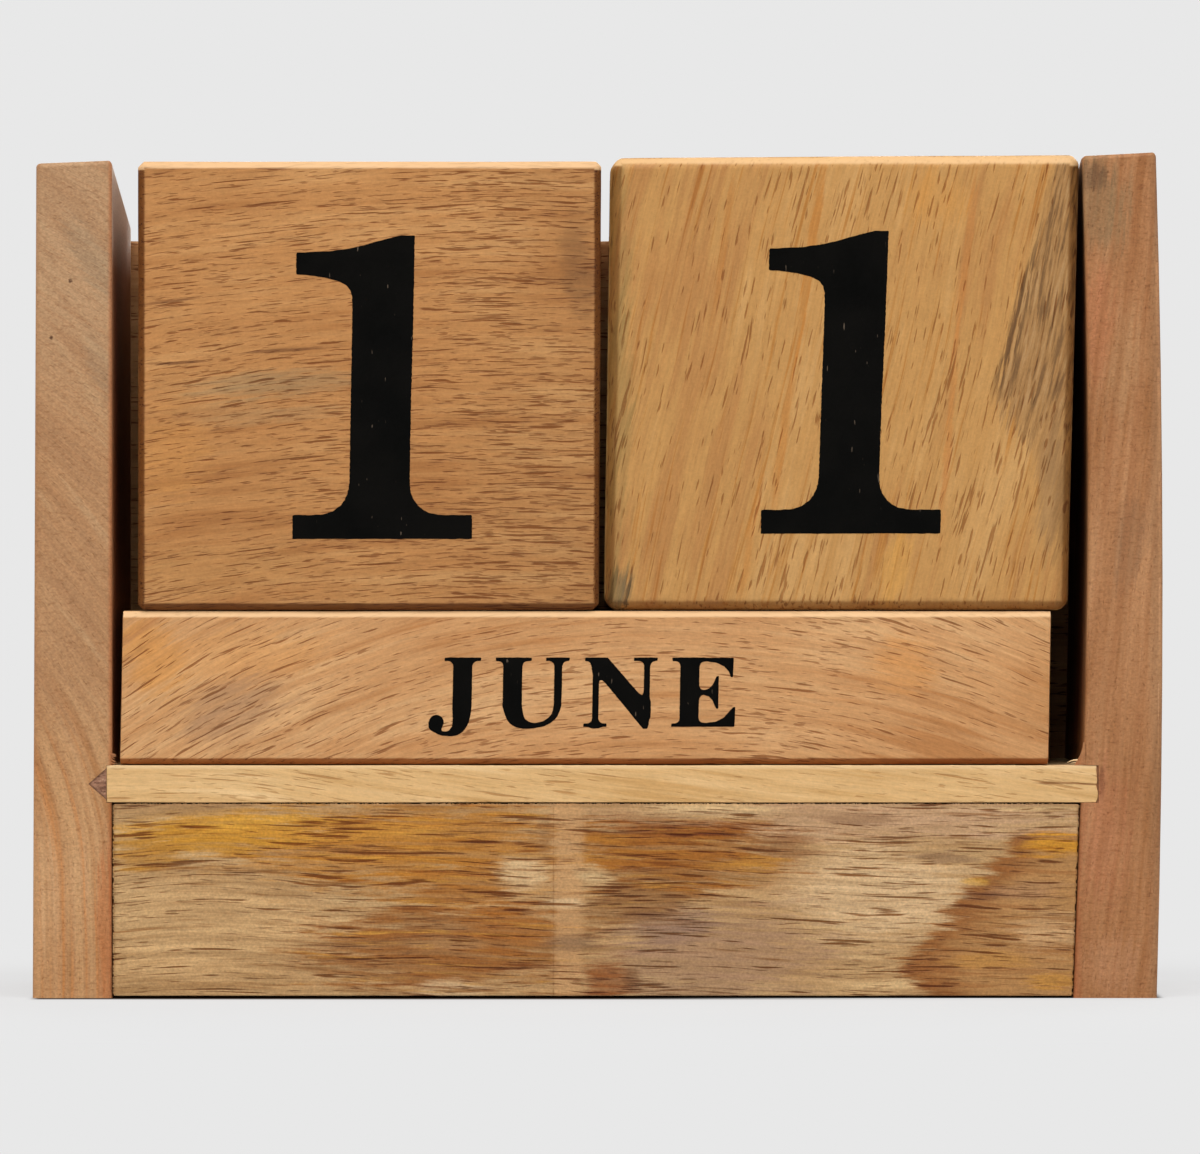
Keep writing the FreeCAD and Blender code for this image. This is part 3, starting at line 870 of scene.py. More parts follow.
def slivers(name, roots, ways, lengths, widths, curls, material, body):
    """Thin torn fibres, all in one piece, with their ways in the plane of the front.

    A point at the share s of a fibre lies s times its length along its way, and curl times s
    squared above that. The fibre's half width is its width times (1 - s) to the power 0.6, in
    rings of five points, with a pole at each end.
    """
    share = np.linspace(0, 1, 8)
    turn = np.arange(5) * 2 * np.pi / 5
    ways = ways / np.linalg.norm(ways, axis=1)[:, None]
    side = np.cross(ways, [0, 1.0, 0])
    side /= np.linalg.norm(side, axis=1)[:, None]
    over = np.cross(side, ways)
    spine = roots[:, None] + ways[:, None] * (share[None, :, None] * lengths[:, None, None])
    spine[..., 2] += curls[:, None] * share ** 2
    half = widths[:, None] * (1 - share) ** 0.6
    ring = np.cos(turn)[:, None] * side[:, None, None] + np.sin(turn)[:, None] * over[:, None, None]
    skin = spine[:, :-1, None] + ring * half[:, :-1, None, None]
    count, rings, sides = skin.shape[:3]
    index = np.arange(count * rings * sides).reshape(count, rings, sides)
    around = np.roll(index, -1, axis=2)
    quads = np.stack([index[:, :-1], around[:, :-1], around[:, 1:], index[:, 1:]], axis=-1)
    root = (index.size + np.arange(count))[:, None]
    tip = root + count
    root, tip = (np.broadcast_to(pole, (count, sides)) for pole in (root, tip))
    closed = [np.stack([around[:, 0], index[:, 0], root], axis=-1)]
    closed.append(np.stack([index[:, -1], around[:, -1], tip], axis=-1))
    points = np.vstack([skin.reshape(-1, 3), spine[:, 0], spine[:, -1]])
    faces = quads.reshape(-1, 4).tolist() + np.concatenate(closed).reshape(-1, 3).tolist()
    add_piece(name, points, faces, material, body)


def make_shelf_slivers():
    """Short fibres lying along the shelf's upper front edge, closer together to the right."""
    draw = np.random.default_rng(120)
    count = 34
    share = draw.uniform(0, 1, count) ** 0.6
    roots = np.column_stack([-30 + 90 * share, np.full(count, FRONT + 0.14), np.full(count, 30.86)])
    ways = np.column_stack([draw.choice([-1.0, 1.0], count), np.zeros(count), draw.normal(0, 0.02, count)])
    lengths = draw.uniform(0.6, 2.4, count)
    widths = draw.uniform(0.05, 0.1, count)
    slivers(
        "shelf_slivers", roots, ways, lengths, widths, np.zeros(count),
        pale_wood, "case",
    )


def make_torn_corner():
    """Torn wood in the corner over the shelf's right end, and the pale curl that hangs from it.

    The corner is a curved wedge: between the plank and a line that leaves it with the square
    of the height below its top. Its back shrinks towards the plank.
    """
    fall = np.linspace(0, 1, 12)
    depth = np.linspace(0, 1, 6)
    fall, depth = np.meshgrid(fall, depth, indexing="ij")
    reach = CORNER_REACH * fall ** 1.7 * np.sqrt(1 - 0.85 * depth)
    back = FRONT + 0.05 + depth * 2.4
    front = np.stack([CORNER_FOOT[0] - reach, back, CORNER_TOP - fall * CORNER_FALL], axis=-1)
    behind = front.copy()
    behind[..., 0] = CORNER_FOOT[0] + 0.25
    rim = np.concatenate([front, behind[::-1]]).reshape(-1, 3)
    rows, columns = fall.shape[0] * 2, fall.shape[1]
    index = np.arange(rows * columns).reshape(rows, columns)
    below = np.roll(index, -1, axis=0)
    quads = np.stack([index[:, :-1], index[:, 1:], below[:, 1:], below[:, :-1]], axis=-1)
    faces = quads.reshape(-1, 4).tolist() + [index[:, 0].tolist()[::-1], index[:, -1].tolist()]
    piece = add_piece("side_right_torn_corner", rim, faces, right_wood, "case")
    outward(piece)
    roots = np.array([[63.9, FRONT + 0.25, 31.55], [64.0, FRONT + 0.3, 31.25]])
    ways = np.array([[-1.0, 0, 0.25], [-1.0, 0, 0.1]])
    slivers(
        "side_right_curl", roots, ways, np.array([1.7, 1.3]), np.array([0.17, 0.13]),
        np.array([-0.8, -0.25]), pale_wood, "case",
    )


def outward(piece):
    """Turns all of a closed piece's faces outwards."""
    mesh = bmesh.new()
    mesh.from_mesh(piece.data)
    bmesh.ops.recalc_face_normals(mesh, faces=mesh.faces)
    mesh.to_mesh(piece.data)
    mesh.free()


def make_left_slivers():
    """Torn fibres of the left plank in its corner over the shelf."""
    draw = np.random.default_rng(121)
    count = 9
    roots = np.column_stack([
        draw.uniform(-64.9, -64.4, count), np.full(count, FRONT + 0.25), draw.uniform(31.1, 32.4, count),
    ])
    ways = np.column_stack([draw.uniform(0.4, 1, count), np.zeros(count), draw.uniform(-0.8, 0.5, count)])
    lengths = draw.uniform(0.4, 0.9, count)
    widths = draw.uniform(0.07, 0.13, count)
    slivers(
        "side_left_slivers", roots, ways, lengths, widths, np.zeros(count),
        left_wood, "case",
    )


def make_torn_rim():
    """Torn wood of the right plank, pressed into the gap round the shelf's torn end."""
    low, high = (np.array(corner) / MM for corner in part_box("shelf"))
    corners = [
        (high[0] - RIM_WIDTH, low[2] + 0.02), (high[0], low[2] + 0.02),
        (high[0], high[2] - 0.02), (high[0] - RIM_WIDTH, high[2] - 0.02),
    ]
    rim = Block(corners, FRONT + RIM_DEPTH, 1.5, (0.02, 0.02, 0.02), 112)
    points, faces = rim.skin((0.2, 0.5, 0.3))
    points[:, 0] -= 0.04 + 0.04 * ripple(points, 1.1, 113)
    add_piece("side_right_torn_rim", points, faces.tolist(), right_wood, "case")


def make_drawer_burrs():
    """Burrs that the saw left on the drawer front's upper edge and two ends.

    They bridge most of the thin gap round the front, but touch nothing: the gap is 0.2
    millimetres wide, and no burr reaches out further than 0.17.
    """
    draw = np.random.default_rng(122)
    low, high = (np.array(corner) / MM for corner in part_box("drawer_front"))
    counts = (640, 190, 150)
    along = [draw.uniform(0.01, 0.99, count) for count in counts]
    across = low[0] + along[0] * (high[0] - low[0])
    up_left, up_right = (low[2] + share * (high[2] - low[2]) for share in along[1:])
    right_edge = high[0] - (high[2] - up_right) * FRONT_LEAN
    roots_x = np.concatenate([across, np.full(counts[1], low[0] + 0.04), right_edge - 0.04])
    roots_z = np.concatenate([np.full(counts[0], high[2] - 0.04), up_left, up_right])
    total = sum(counts)
    widths = draw.uniform(0.07, 0.2, total)
    roots_y = FRONT + widths + draw.uniform(0.02, 0.1, total)
    roots = np.column_stack([roots_x, roots_y, roots_z])
    kinds = np.repeat([[0, 0, 1.0], [-1.0, 0, 0], [1.0, 0, 0]], counts, axis=0)
    lengths = draw.uniform(0.16, 0.21, total)
    ways = kinds * lengths[:, None]
    ways[:, 1] = -0.8 * widths
    slivers(
        "drawer_front_burrs", roots, ways, lengths, widths, np.zeros(total),
        front_wood, "drawer",
    )


# The torn end: each height over the shelf's underside, and how far the end is set back there.
TORN_END = [(0.0, 0.25), (0.65, 0.03), (1.45, 0.0), (2.35, 0.25), (2.75, 0.1), (4.95, 0.22)]
TORN_REACH = 2.5
CORNER_FOOT = (64.5, 30.95)
CORNER_REACH = 1.2
CORNER_FALL = 3.0
CORNER_TOP = CORNER_FOOT[1] + CORNER_FALL
RIM_WIDTH = 0.45
RIM_DEPTH = 0.25
FRONT_LEAN = 0.0366

make_shelf_board()
make_shelf_slivers()
make_torn_corner()
make_left_slivers()
make_torn_rim()
make_drawer_burrs()

# Ink: the numbers on the cubes and the month names on the bars

# Letters are laid out in units of their own height, from the left, with the foot line at 0 and
# the head line at 1. STEM and HAIR are half the widths of the thick and the thin strokes.
STEM, HAIR, SERIF = 0.139, 0.048, 0.024


def curve(controls, pieces):
    """A smooth line through its controls (Catmull-Rom), each across, up and half a width."""
    rows = np.array(controls, float)
    rows = np.vstack([2 * rows[0] - rows[1], rows, 2 * rows[-1] - rows[-2]])
    share = np.linspace(0, 1, pieces, endpoint=False)[:, None]
    runs = []
    for one, two, three, four in zip(rows, rows[1:], rows[2:], rows[3:]):
        slope = (three - one) / 2
        bend = one - 2.5 * two + 2 * three - 0.5 * four
        twist = 1.5 * (two - three) + 0.5 * (four - one)
        runs.append(two + share * (slope + share * (bend + share * twist)))
    return np.vstack([*runs, rows[-2]])


def from_runs(across, up, start, end):
    """Each place's distance to each straight run, and how far along the run it is nearest."""
    step = end - start
    length = np.maximum((step[:, :2] ** 2).sum(axis=1), 1e-12)
    out_x, out_z = across[..., None] - start[:, 0], up[..., None] - start[:, 1]
    share = np.clip((out_x * step[:, 0] + out_z * step[:, 1]) / length, 0, 1)
    return np.hypot(out_x - share * step[:, 0], out_z - share * step[:, 1]), share


def ribbon(*controls, pieces=8):
    """A stroke along a smooth line: the distance to it, less its half width there."""
    path = curve(controls, pieces)

    def outside(across, up):
        distance, share = from_runs(across, up, path[:-1], path[1:])
        half = path[:-1, 2] + share * (path[1:, 2] - path[:-1, 2])
        return (distance - half).min(axis=-1)

    return outside


def patch(*corners):
    """A straight-sided shape: the distance to its nearest side, below zero inside it."""
    ring = np.array(corners, float)
    after = np.roll(ring, -1, axis=0)

    def outside(across, up):
        distance = from_runs(across, up, ring, after)[0].min(axis=-1)
        over = (ring[:, 1] > up[..., None]) != (after[:, 1] > up[..., None])
        rise = np.where(after[:, 1] == ring[:, 1], 1, after[:, 1] - ring[:, 1])
        cross = ring[:, 0] + (up[..., None] - ring[:, 1]) * (after[:, 0] - ring[:, 0]) / rise
        inside = (over & (across[..., None] < cross)).sum(axis=-1) % 2 == 1
        return np.where(inside, -distance, distance)

    return outside


def slab(left, right, low, high):
    return patch((left, low), (right, low), (right, high), (left, high))


def stem(middle, half=STEM, low=0.0, high=1.0):
    return slab(middle - half, middle + half, low, high)


def serif(level, left, right):
    """A thin foot at level 0 or head at level 1."""
    return slab(left, right, *((0, 2 * SERIF) if level == 0 else (1 - 2 * SERIF, 1)))


def slant(foot, head, half):
    """A straight stroke from a place on the foot line to one on the head line."""
    return patch((foot - half, 0), (foot + half, 0), (head + half, 1), (head - half, 1))


def top_arm(turn=1):
    """A thin arm along the head line with a broad beak; turn -1 gives the foot's, which is longer."""
    tip = 0.884 if turn == 1 else 0.924
    beak = [(tip, 0.716), (tip - 0.032, 0.716), (0.82, 0.8), (0.75, 0.875)]
    inside = [*beak, (0.64, 0.928), (0.5, 0.945)]
    ring = [(0.3, 1), (tip + 0.005 * turn, 1), *inside, (0.3, 0.945)]
    return patch(*((across, up if turn == 1 else 1 - up) for across, up in ring))


def middle_arm():
    """The short arm of E and F, which spreads into an upright tip."""
    level = 0.497
    half = [
        (0.3, 0.03), (0.474, 0.036), (0.54, 0.06), (0.59, 0.11), (0.625, 0.19), (0.645, 0.235),
        (0.678, 0.24),
    ]
    ring = [(across, level + up) for across, up in half]
    return patch(*ring, *((across, level - up) for across, up in reversed(half)))


def bowl(left, right, low, high, thick, thin=HAIR, start=0.0, turn=1.0):
    """A round stroke: part of an ellipse, thick at its sides and thin at its top and foot.

    Start and turn are shares of a full turn, from the right and anticlockwise.
    """
    angle = 2 * np.pi * (start + np.linspace(0, turn, 25))
    side = np.abs(np.cos(angle))
    half = thin + (thick - thin) * side ** 1.6
    across = (left + right) / 2 + np.cos(angle) * ((right - left) / 2 - half)
    up = (low + high) / 2 + np.sin(angle) * ((high - low) / 2 - half)
    return ribbon(*np.column_stack([across, up, half]), pieces=2)


LETTERS = {
    "A": (1.06, [
        slant(0.19, 0.5, HAIR), slant(0.8, 0.49, STEM), slab(0.3, 0.72, 0.3, 0.37), serif(0, 0.0, 0.37),
        serif(0, 0.56, 1.06),
    ]),
    "B": (0.93, [
        stem(0.26), serif(0, 0, 0.4), serif(1, 0, 0.4),
        bowl(0.1, 0.93, 0, 0.54, 0.13, 0.03, -0.25, 0.5),
        bowl(0.1, 0.86, 0.48, 1, 0.12, 0.03, -0.25, 0.5), slab(0.3, 0.52, 0.0, 0.055),
        slab(0.3, 0.52, 0.945, 1), slab(0.3, 0.52, 0.485, 0.54),
    ]),
    "C": (0.96, [
        bowl(0, 1.04, -0.01, 1.01, STEM, 0.03, 0.11, 0.77),
        patch((0.84, 1), (0.9, 1), (0.92, 0.64), (0.895, 0.64)),
        ribbon((0.78, 0.07, 0.03), (0.9, 0.16, 0.025), (0.95, 0.28, 0.015)),
    ]),
    "D": (1.04, [
        stem(0.26), serif(0, 0, 0.4), serif(1, 0, 0.4), bowl(0.0, 1.04, 0, 1, STEM, 0.03, -0.25, 0.5),
        slab(0.3, 0.53, 0.0, 0.055), slab(0.3, 0.53, 0.945, 1),
    ]),
    "E": (0.93, [
        stem(0.257), serif(0, 0, 0.3), serif(1, 0, 0.3), top_arm(), top_arm(-1), middle_arm(),
    ]),
    "F": (0.9, [stem(0.257), serif(0, 0, 0.5), serif(1, 0, 0.3), top_arm(), middle_arm()]),
    "G": (1.05, [
        bowl(0, 1.04, -0.01, 1.01, STEM, 0.03, 0.11, 0.74),
        patch((0.84, 1), (0.9, 1), (0.92, 0.64), (0.895, 0.64)), stem(0.82, 0.125, 0.03, 0.42),
        slab(0.6, 1.05, 0.38, 0.43),
    ]),
    "H": (1.22, [
        stem(0.26), stem(0.96), slab(0.3, 0.9, 0.47, 0.53), serif(0, 0, 0.52), serif(1, 0, 0.52),
        serif(0, 0.7, 1.22), serif(1, 0.7, 1.22),
    ]),
    "I": (0.53, [stem(0.265), serif(0, 0, 0.53), serif(1, 0, 0.53)]),
    "J": (0.75, [
        serif(1, 0.22, 0.75), ribbon((0.118, 0.064, 0.106), (0.118, 0.066, 0.106)),
        ribbon(
            (0.485, 1.1, STEM), (0.485, 0.4, STEM), (0.483, 0.24, 0.136), (0.468, 0.08, 0.115),
            (0.41, -0.04, 0.08), (0.3, -0.098, 0.038), (0.17, -0.085, 0.03), (0.08, -0.0, 0.05),
        ),
    ]),
    "L": (0.93, [stem(0.257), serif(0, 0, 0.3), serif(1, 0, 0.52), top_arm(-1)]),
    "M": (1.4, [
        stem(0.17, HAIR), slant(0.7, 0.31, STEM), slant(0.7, 1.09, HAIR), stem(1.14), serif(0, 0, 0.34),
        serif(1, 0.02, 0.4), serif(0, 0.88, 1.4), serif(1, 1.05, 1.4),
    ]),
    "N": (1.06, [
        stem(0.171, 0.046), stem(0.91, 0.044, 0.15), serif(0, 0, 0.338), serif(1, 0.009, 0.2),
        serif(1, 0.716, 1.06),
        patch(
            (0.1, 1), (0.34, 1), (0.866, 0.406), (0.95, 0.36), (0.95, 0.04), (0.93, -0.03),
            (0.868, -0.03), (0.217, 0.74), (0.135, 0.84),
        ),
    ]),
    "O": (1.06, [bowl(0, 1.06, -0.01, 1.01, STEM, 0.03)]),
    "P": (0.92, [
        stem(0.26), serif(0, 0, 0.52), serif(1, 0, 0.4),
        bowl(0.1, 0.92, 0.42, 1, 0.135, 0.03, -0.25, 0.5), slab(0.3, 0.52, 0.42, 0.475),
        slab(0.3, 0.52, 0.945, 1),
    ]),
    "R": (1.1, [
        stem(0.26), serif(0, 0, 0.52), serif(1, 0, 0.4),
        bowl(0.1, 0.92, 0.46, 1, 0.13, 0.03, -0.25, 0.5), slab(0.3, 0.52, 0.46, 0.515),
        slab(0.3, 0.52, 0.945, 1),
        ribbon(
            (0.55, 0.46, 0.05), (0.74, 0.36, 0.12), (0.81, 0.16, 0.125), (0.93, 0.045, 0.05),
            (1.08, 0.06, 0.02),
        ),
    ]),
    "S": (0.8, [
        ribbon(
            (0.68, 0.74, 0.02), (0.6, 0.93, 0.028), (0.38, 0.97, 0.03), (0.17, 0.87, 0.08),
            (0.17, 0.68, 0.125), (0.42, 0.52, 0.135), (0.64, 0.36, 0.13), (0.67, 0.16, 0.08),
            (0.45, 0.03, 0.03), (0.2, 0.06, 0.028), (0.06, 0.27, 0.02),
        ),
        patch((0.62, 1), (0.68, 1), (0.7, 0.66), (0.675, 0.66)),
        patch((0.06, 0), (0.11, 0), (0.065, 0.35), (0.04, 0.35)),
    ]),
    "T": (1.06, [
        stem(0.53), serif(0, 0.26, 0.8), slab(0.04, 1.02, 0.945, 1),
        patch((0.85, 1), (1.04, 1), (1.055, 0.71), (1.025, 0.71), (0.96, 0.88)),
        patch((0.21, 1), (0.02, 1), (0.005, 0.71), (0.035, 0.71), (0.1, 0.88)),
    ]),
    "U": (1.07, [
        serif(1, 0, 0.52), serif(1, 0.728, 1.07),
        ribbon(
            (0.248, 1.1, STEM), (0.248, 0.42, STEM), (0.252, 0.3, STEM), (0.3, 0.14, 0.12),
            (0.4, 0.05, 0.075), (0.55, 0.017, 0.04), (0.72, 0.05, 0.037), (0.85, 0.15, 0.044),
            (0.9, 0.29, 0.054), (0.906, 0.42, 0.056), (0.906, 1.1, 0.058),
        ),
    ]),
    "V": (1.1, [
        slant(0.58, 0.26, STEM), slant(0.58, 0.92, HAIR), serif(1, 0, 0.52), serif(1, 0.74, 1.1),
    ]),
    "Y": (1.1, [
        stem(0.57, STEM, 0, 0.45), patch((0.43, 0.42), (0.71, 0.42), (0.4, 1), (0.12, 1)),
        patch((0.62, 0.42), (0.71, 0.42), (0.97, 1), (0.88, 1)), serif(1, 0, 0.52), serif(1, 0.74, 1.1),
        serif(0, 0.31, 0.83),
    ]),
}
DIGITS = {
    "0": (0.66, [bowl(0, 0.66, -0.01, 1.01, 0.105, 0.035)]),
    "1": (0.591, [
        patch(
            (0.1855, 0.05), (0.384, 0.05), (0.3887, 0.41), (0.3956, 0.695), (0.4005, 0.9994),
            (0.356, 1.0007), (0.3, 0.987), (0.234, 0.968), (0.18, 0.956), (0.12, 0.948),
            (0.0115, 0.9436), (0.0115, 0.872), (0.06, 0.868), (0.1, 0.862), (0.13, 0.855),
            (0.157, 0.846), (0.177, 0.835), (0.189, 0.82), (0.1945, 0.8), (0.1955, 0.77),
            (0.1953, 0.7275), (0.1917, 0.48),
        ),
        slab(0, 0.591, 0, 0.079),
    ]),
    "2": (0.64, [
        ribbon(
            (0.13, 0.73, 0.075), (0.12, 0.78, 0.07), (0.17, 0.93, 0.04), (0.32, 0.965, 0.035),
            (0.46, 0.88, 0.08), (0.49, 0.72, 0.1), (0.38, 0.5, 0.08), (0.2, 0.26, 0.05),
            (0.07, 0.06, 0.03),
        ),
        slab(0.02, 0.6, 0, 0.13), patch((0.56, 0), (0.6, 0), (0.64, 0.3), (0.61, 0.3)),
    ]),
    "3": (0.62, [
        ribbon(
            (0.12, 0.76, 0.07), (0.15, 0.9, 0.04), (0.3, 0.965, 0.035), (0.45, 0.87, 0.09),
            (0.43, 0.68, 0.085), (0.27, 0.54, 0.03), (0.22, 0.53, 0.03),
        ),
        ribbon(
            (0.22, 0.53, 0.03), (0.4, 0.47, 0.07), (0.5, 0.3, 0.105), (0.43, 0.1, 0.08),
            (0.26, 0.03, 0.032), (0.13, 0.09, 0.045), (0.11, 0.2, 0.075),
        ),
    ]),
    "4": (0.68, [
        stem(0.46, 0.1, 0, 0.98), patch((0.02, 0.26), (0.11, 0.26), (0.52, 0.98), (0.47, 1)),
        slab(0.02, 0.68, 0.22, 0.3), slab(0.26, 0.66, 0, 0.045),
    ]),
    "5": (0.62, [
        slab(0.12, 0.56, 0.86, 1), patch((0.1, 0.5), (0.15, 0.5), (0.18, 0.95), (0.12, 0.98)),
        ribbon(
            (0.12, 0.53, 0.025), (0.27, 0.61, 0.04), (0.45, 0.53, 0.085), (0.51, 0.33, 0.105),
            (0.44, 0.12, 0.085), (0.27, 0.03, 0.032), (0.13, 0.09, 0.045), (0.11, 0.2, 0.075),
        ),
    ]),
    "6": (0.66, [
        bowl(0.0, 0.66, -0.01, 0.6, 0.105, 0.032),
        ribbon(
            (0.105, 0.3, 0.105), (0.13, 0.6, 0.1), (0.27, 0.88, 0.06), (0.45, 0.965, 0.032),
            (0.53, 0.87, 0.065),
        ),
    ]),
    "7": (0.62, [
        slab(0.03, 0.6, 0.87, 1), patch((0.03, 0.68), (0.06, 0.68), (0.1, 1), (0.03, 1)),
        ribbon((0.57, 0.93, 0.03), (0.42, 0.62, 0.06), (0.31, 0.33, 0.095), (0.29, 0.1, 0.11)),
    ]),
    "8": (0.66, [bowl(0.0, 0.66, -0.01, 0.56, 0.1, 0.032), bowl(0.04, 0.62, 0.5, 1.01, 0.09, 0.032)]),
}


def zero_line(spots, faces, outside):
    """The line where outside is zero, as points and the pairs of them that are joined.

    Where outside changes sign across a triangle, a straight run crosses that triangle.
    """
    inside = outside[faces] < 0
    count = inside.sum(axis=1)
    faces, inside, count = (part[(count == 1) | (count == 2)] for part in (faces, inside, count))
    odd = np.argmax(inside == (count == 1)[:, None], axis=1)
    alone, after, before = (faces[np.arange(len(faces)), (odd + turn) % 3] for turn in range(3))
    ends = []
    for other in (after, before):
        low_end, high_end = np.minimum(alone, other), np.maximum(alone, other)
        share = outside[low_end] / (outside[low_end] - outside[high_end])
        ends.append(spots[low_end] + share[:, None] * (spots[high_end] - spots[low_end]))
    points, where = np.unique(np.vstack(ends).round(6), axis=0, return_inverse=True)
    pairs = where.ravel().reshape(2, -1).T
    return points, pairs[pairs[:, 0] != pairs[:, 1]]


def sign_outline(strokes, width, step, melt, low):
    """The rim of a sign, found on a fine grid whose squares are halved into triangles.

    The signed distances of its strokes are melted together where they meet, by a smooth
    minimum, which gives the curved brackets of the serifs.
    """
    rim = 0.04
    lines = np.arange(-rim, width + rim, step), np.arange(low - rim, 1 + rim, step)
    across, up = np.meshgrid(*lines, indexing="ij")
    outside = strokes[0](across, up)
    for stroke in strokes[1:]:
        other = stroke(across, up)
        near = np.clip(melt - np.abs(outside - other), 0, None)
        outside = np.minimum(outside, other) - near * near / (4 * melt)
    outside = np.maximum(outside, np.maximum(up - 1.003, low - up)).ravel()
    spots = np.column_stack([across.ravel(), up.ravel()])
    drawn_out = np.column_stack([spots * (1.0, 2.2), np.zeros(len(spots))])
    outside = outside + step * (0.16 * ripple(drawn_out, 6 * step, 7, 24) + 0.001)
    index = np.arange(across.size).reshape(across.shape)
    one, two, three, four = (
        part.ravel() for part in (index[:-1, :-1], index[1:, :-1], index[1:, 1:], index[:-1, 1:])
    )
    faces = np.vstack([np.column_stack([one, two, three]), np.column_stack([one, three, four])])
    return zero_line(spots, faces, outside)


def filled(points, pairs):
    """Fills a flat rim with triangles that face up, leaving its holes open."""
    work = bmesh.new()
    spots = [work.verts.new((*point, 0)) for point in points.tolist()]
    for first, second in pairs.tolist():
        work.edges.new((spots[first], spots[second]))
    bmesh.ops.triangle_fill(work, use_beauty=True, edges=work.edges)
    bmesh.ops.recalc_face_normals(work, faces=work.faces)
    mesh = bpy.data.meshes.new("sign")
    work.to_mesh(mesh)
    work.free()
    places = np.empty(len(mesh.vertices) * 3)
    mesh.vertices.foreach_get("co", places)
    corners = np.empty(len(mesh.loops), int)
    mesh.loops.foreach_get("vertex_index", corners)
    bpy.data.meshes.remove(mesh)
    places, faces = places.reshape(-1, 3)[:, :2], corners.reshape(-1, 3)
    one, two, three = (places[faces[:, turn]] for turn in range(3))
    first, second = two - one, three - one
    turned = first[:, 0] * second[:, 1] - first[:, 1] * second[:, 0] < 0
    faces[turned] = faces[turned][:, ::-1]
    return places, faces


def layer(points, faces):
    """A flat layer of ink: its face, its back and the wall round its rim.

    Points are across and up; the third number added is 1 on the face and 0 on the back. The
    wall stands on each side that only one triangle has.
    """
    count = len(points)
    solid = np.vstack([np.column_stack([points, np.full(count, side)]) for side in (1.0, 0.0)])
    sides = np.vstack([faces[:, [0, 1]], faces[:, [1, 2]], faces[:, [2, 0]]])
    code, back = sides @ (count, 1), sides[:, ::-1] @ (count, 1)
    rim = sides[~np.isin(code, back)]
    wall = np.column_stack([rim[:, 1], rim[:, 0], rim[:, 0] + count, rim[:, 1] + count])
    return solid, [*faces.tolist(), *(faces[:, ::-1] + count).tolist(), *wall.tolist()]


# How low the letters reach that dip below the foot line.
FOOT_DIPS = {"J": -0.2, "N": -0.03, "U": -0.03}
# The ink's face stands this far proud of the wood, and its back lies this far inside it.
INK_FACE, INK_BACK = 0.025, 0.03
# Each side's directions, as seen by someone who faces it: across, up and outwards.
AXES = {
    "front": ((1, 0, 0), (0, 0, 1), (0, -1, 0)),
    "right": ((0, 1, 0), (0, 0, 1), (1, 0, 0)),
    "back": ((-1, 0, 0), (0, 0, 1), (0, 1, 0)),
    "left": ((0, -1, 0), (0, 0, 1), (-1, 0, 0)),
    "top": ((1, 0, 0), (0, 1, 0), (0, 0, 1)),
    "foot": ((1, 0, 0), (0, -1, 0), (0, 0, -1)),
}


class Printer:
    """Prints signs on a block's faces, and keeps each sign once it is filled."""

    def __init__(self, signs, step, melt, gap):
        self.signs, self.step, self.melt, self.gap = signs, step, melt, gap
        self.kept = {}

    def sign(self, letter):
        if letter not in self.kept:
            width, strokes = self.signs[letter]
            low = FOOT_DIPS.get(letter, 0.0)
            self.kept[letter] = filled(*sign_outline(strokes, width, self.step, self.melt, low))
        return self.kept[letter]

    def word(self, text):
        """The signs of a word in a row, with their faces, centred at zero across and up."""
        points, faces, count, along = [], [], 0, 0.0
        for letter in text:
            spots, corners = self.sign(letter)
            points.append(spots + (along, 0))
            faces.append(corners + count)
            count += len(spots)
            along += self.signs[letter][0] + self.gap
        return np.vstack(points) - ((along - self.gap) / 2, 0.5), np.vstack(faces)

    def on(self, name, block, words, height, shift, material, body):
        """One piece with a word on each named face, shifted across and up from its middle."""
        points, faces, count = [], [], 0
        for side, text in words.items():
            spots, corners = layer(*self.word(text))
            across, up, out = (np.array(axis, float) for axis in AXES[side])
            flat = spots[:, :2] * height + shift
            rise = spots[:, 2:] * (INK_FACE + INK_BACK) - INK_BACK
            middle = (1 + out) * block.size / 2
            points.append(block.set_in(middle + flat[:, :1] * across + flat[:, 1:] * up + rise * out))
            faces += [[corner + count for corner in face] for face in corners]
            count += len(spots)
        add_piece(name, np.vstack(points), faces, material, body)


def ink():
    """Black printing ink: nearly even, with pinholes and a few pale scratches."""
    finish = Finish("black_ink")
    grit = finish.cloud(finish.place, (0.5, 0.5, 0.5), 2.0, 0.6, 5)
    film = finish.cloud(finish.place, (7, 7, 7), 2.0, 0.5, 9)
    scratch = finish.cloud(finish.scaled(finish.place, (1, 1, 0.3)), (0.35, 0.35, 0.5), 1.0, 0.5, 3)
    worn = scratch.rise(0.74, 0.78) * film.rise(0.42, 0.6)
    colour = finish.mixed(film.rise(0.3, 0.7), tone(4, 4, 3), tone(8, 7, 5))
    colour = finish.mixed(worn * 0.6, colour, tone(120, 104, 88))
    roughness = 0.42 + (film - 0.5) * 0.2 + (grit - 0.5) * 0.2
    finish.surface.inputs["Specular IOR Level"].default_value = 0.06
    return finish.close(colour, roughness, (grit - 0.5) * 0.02)


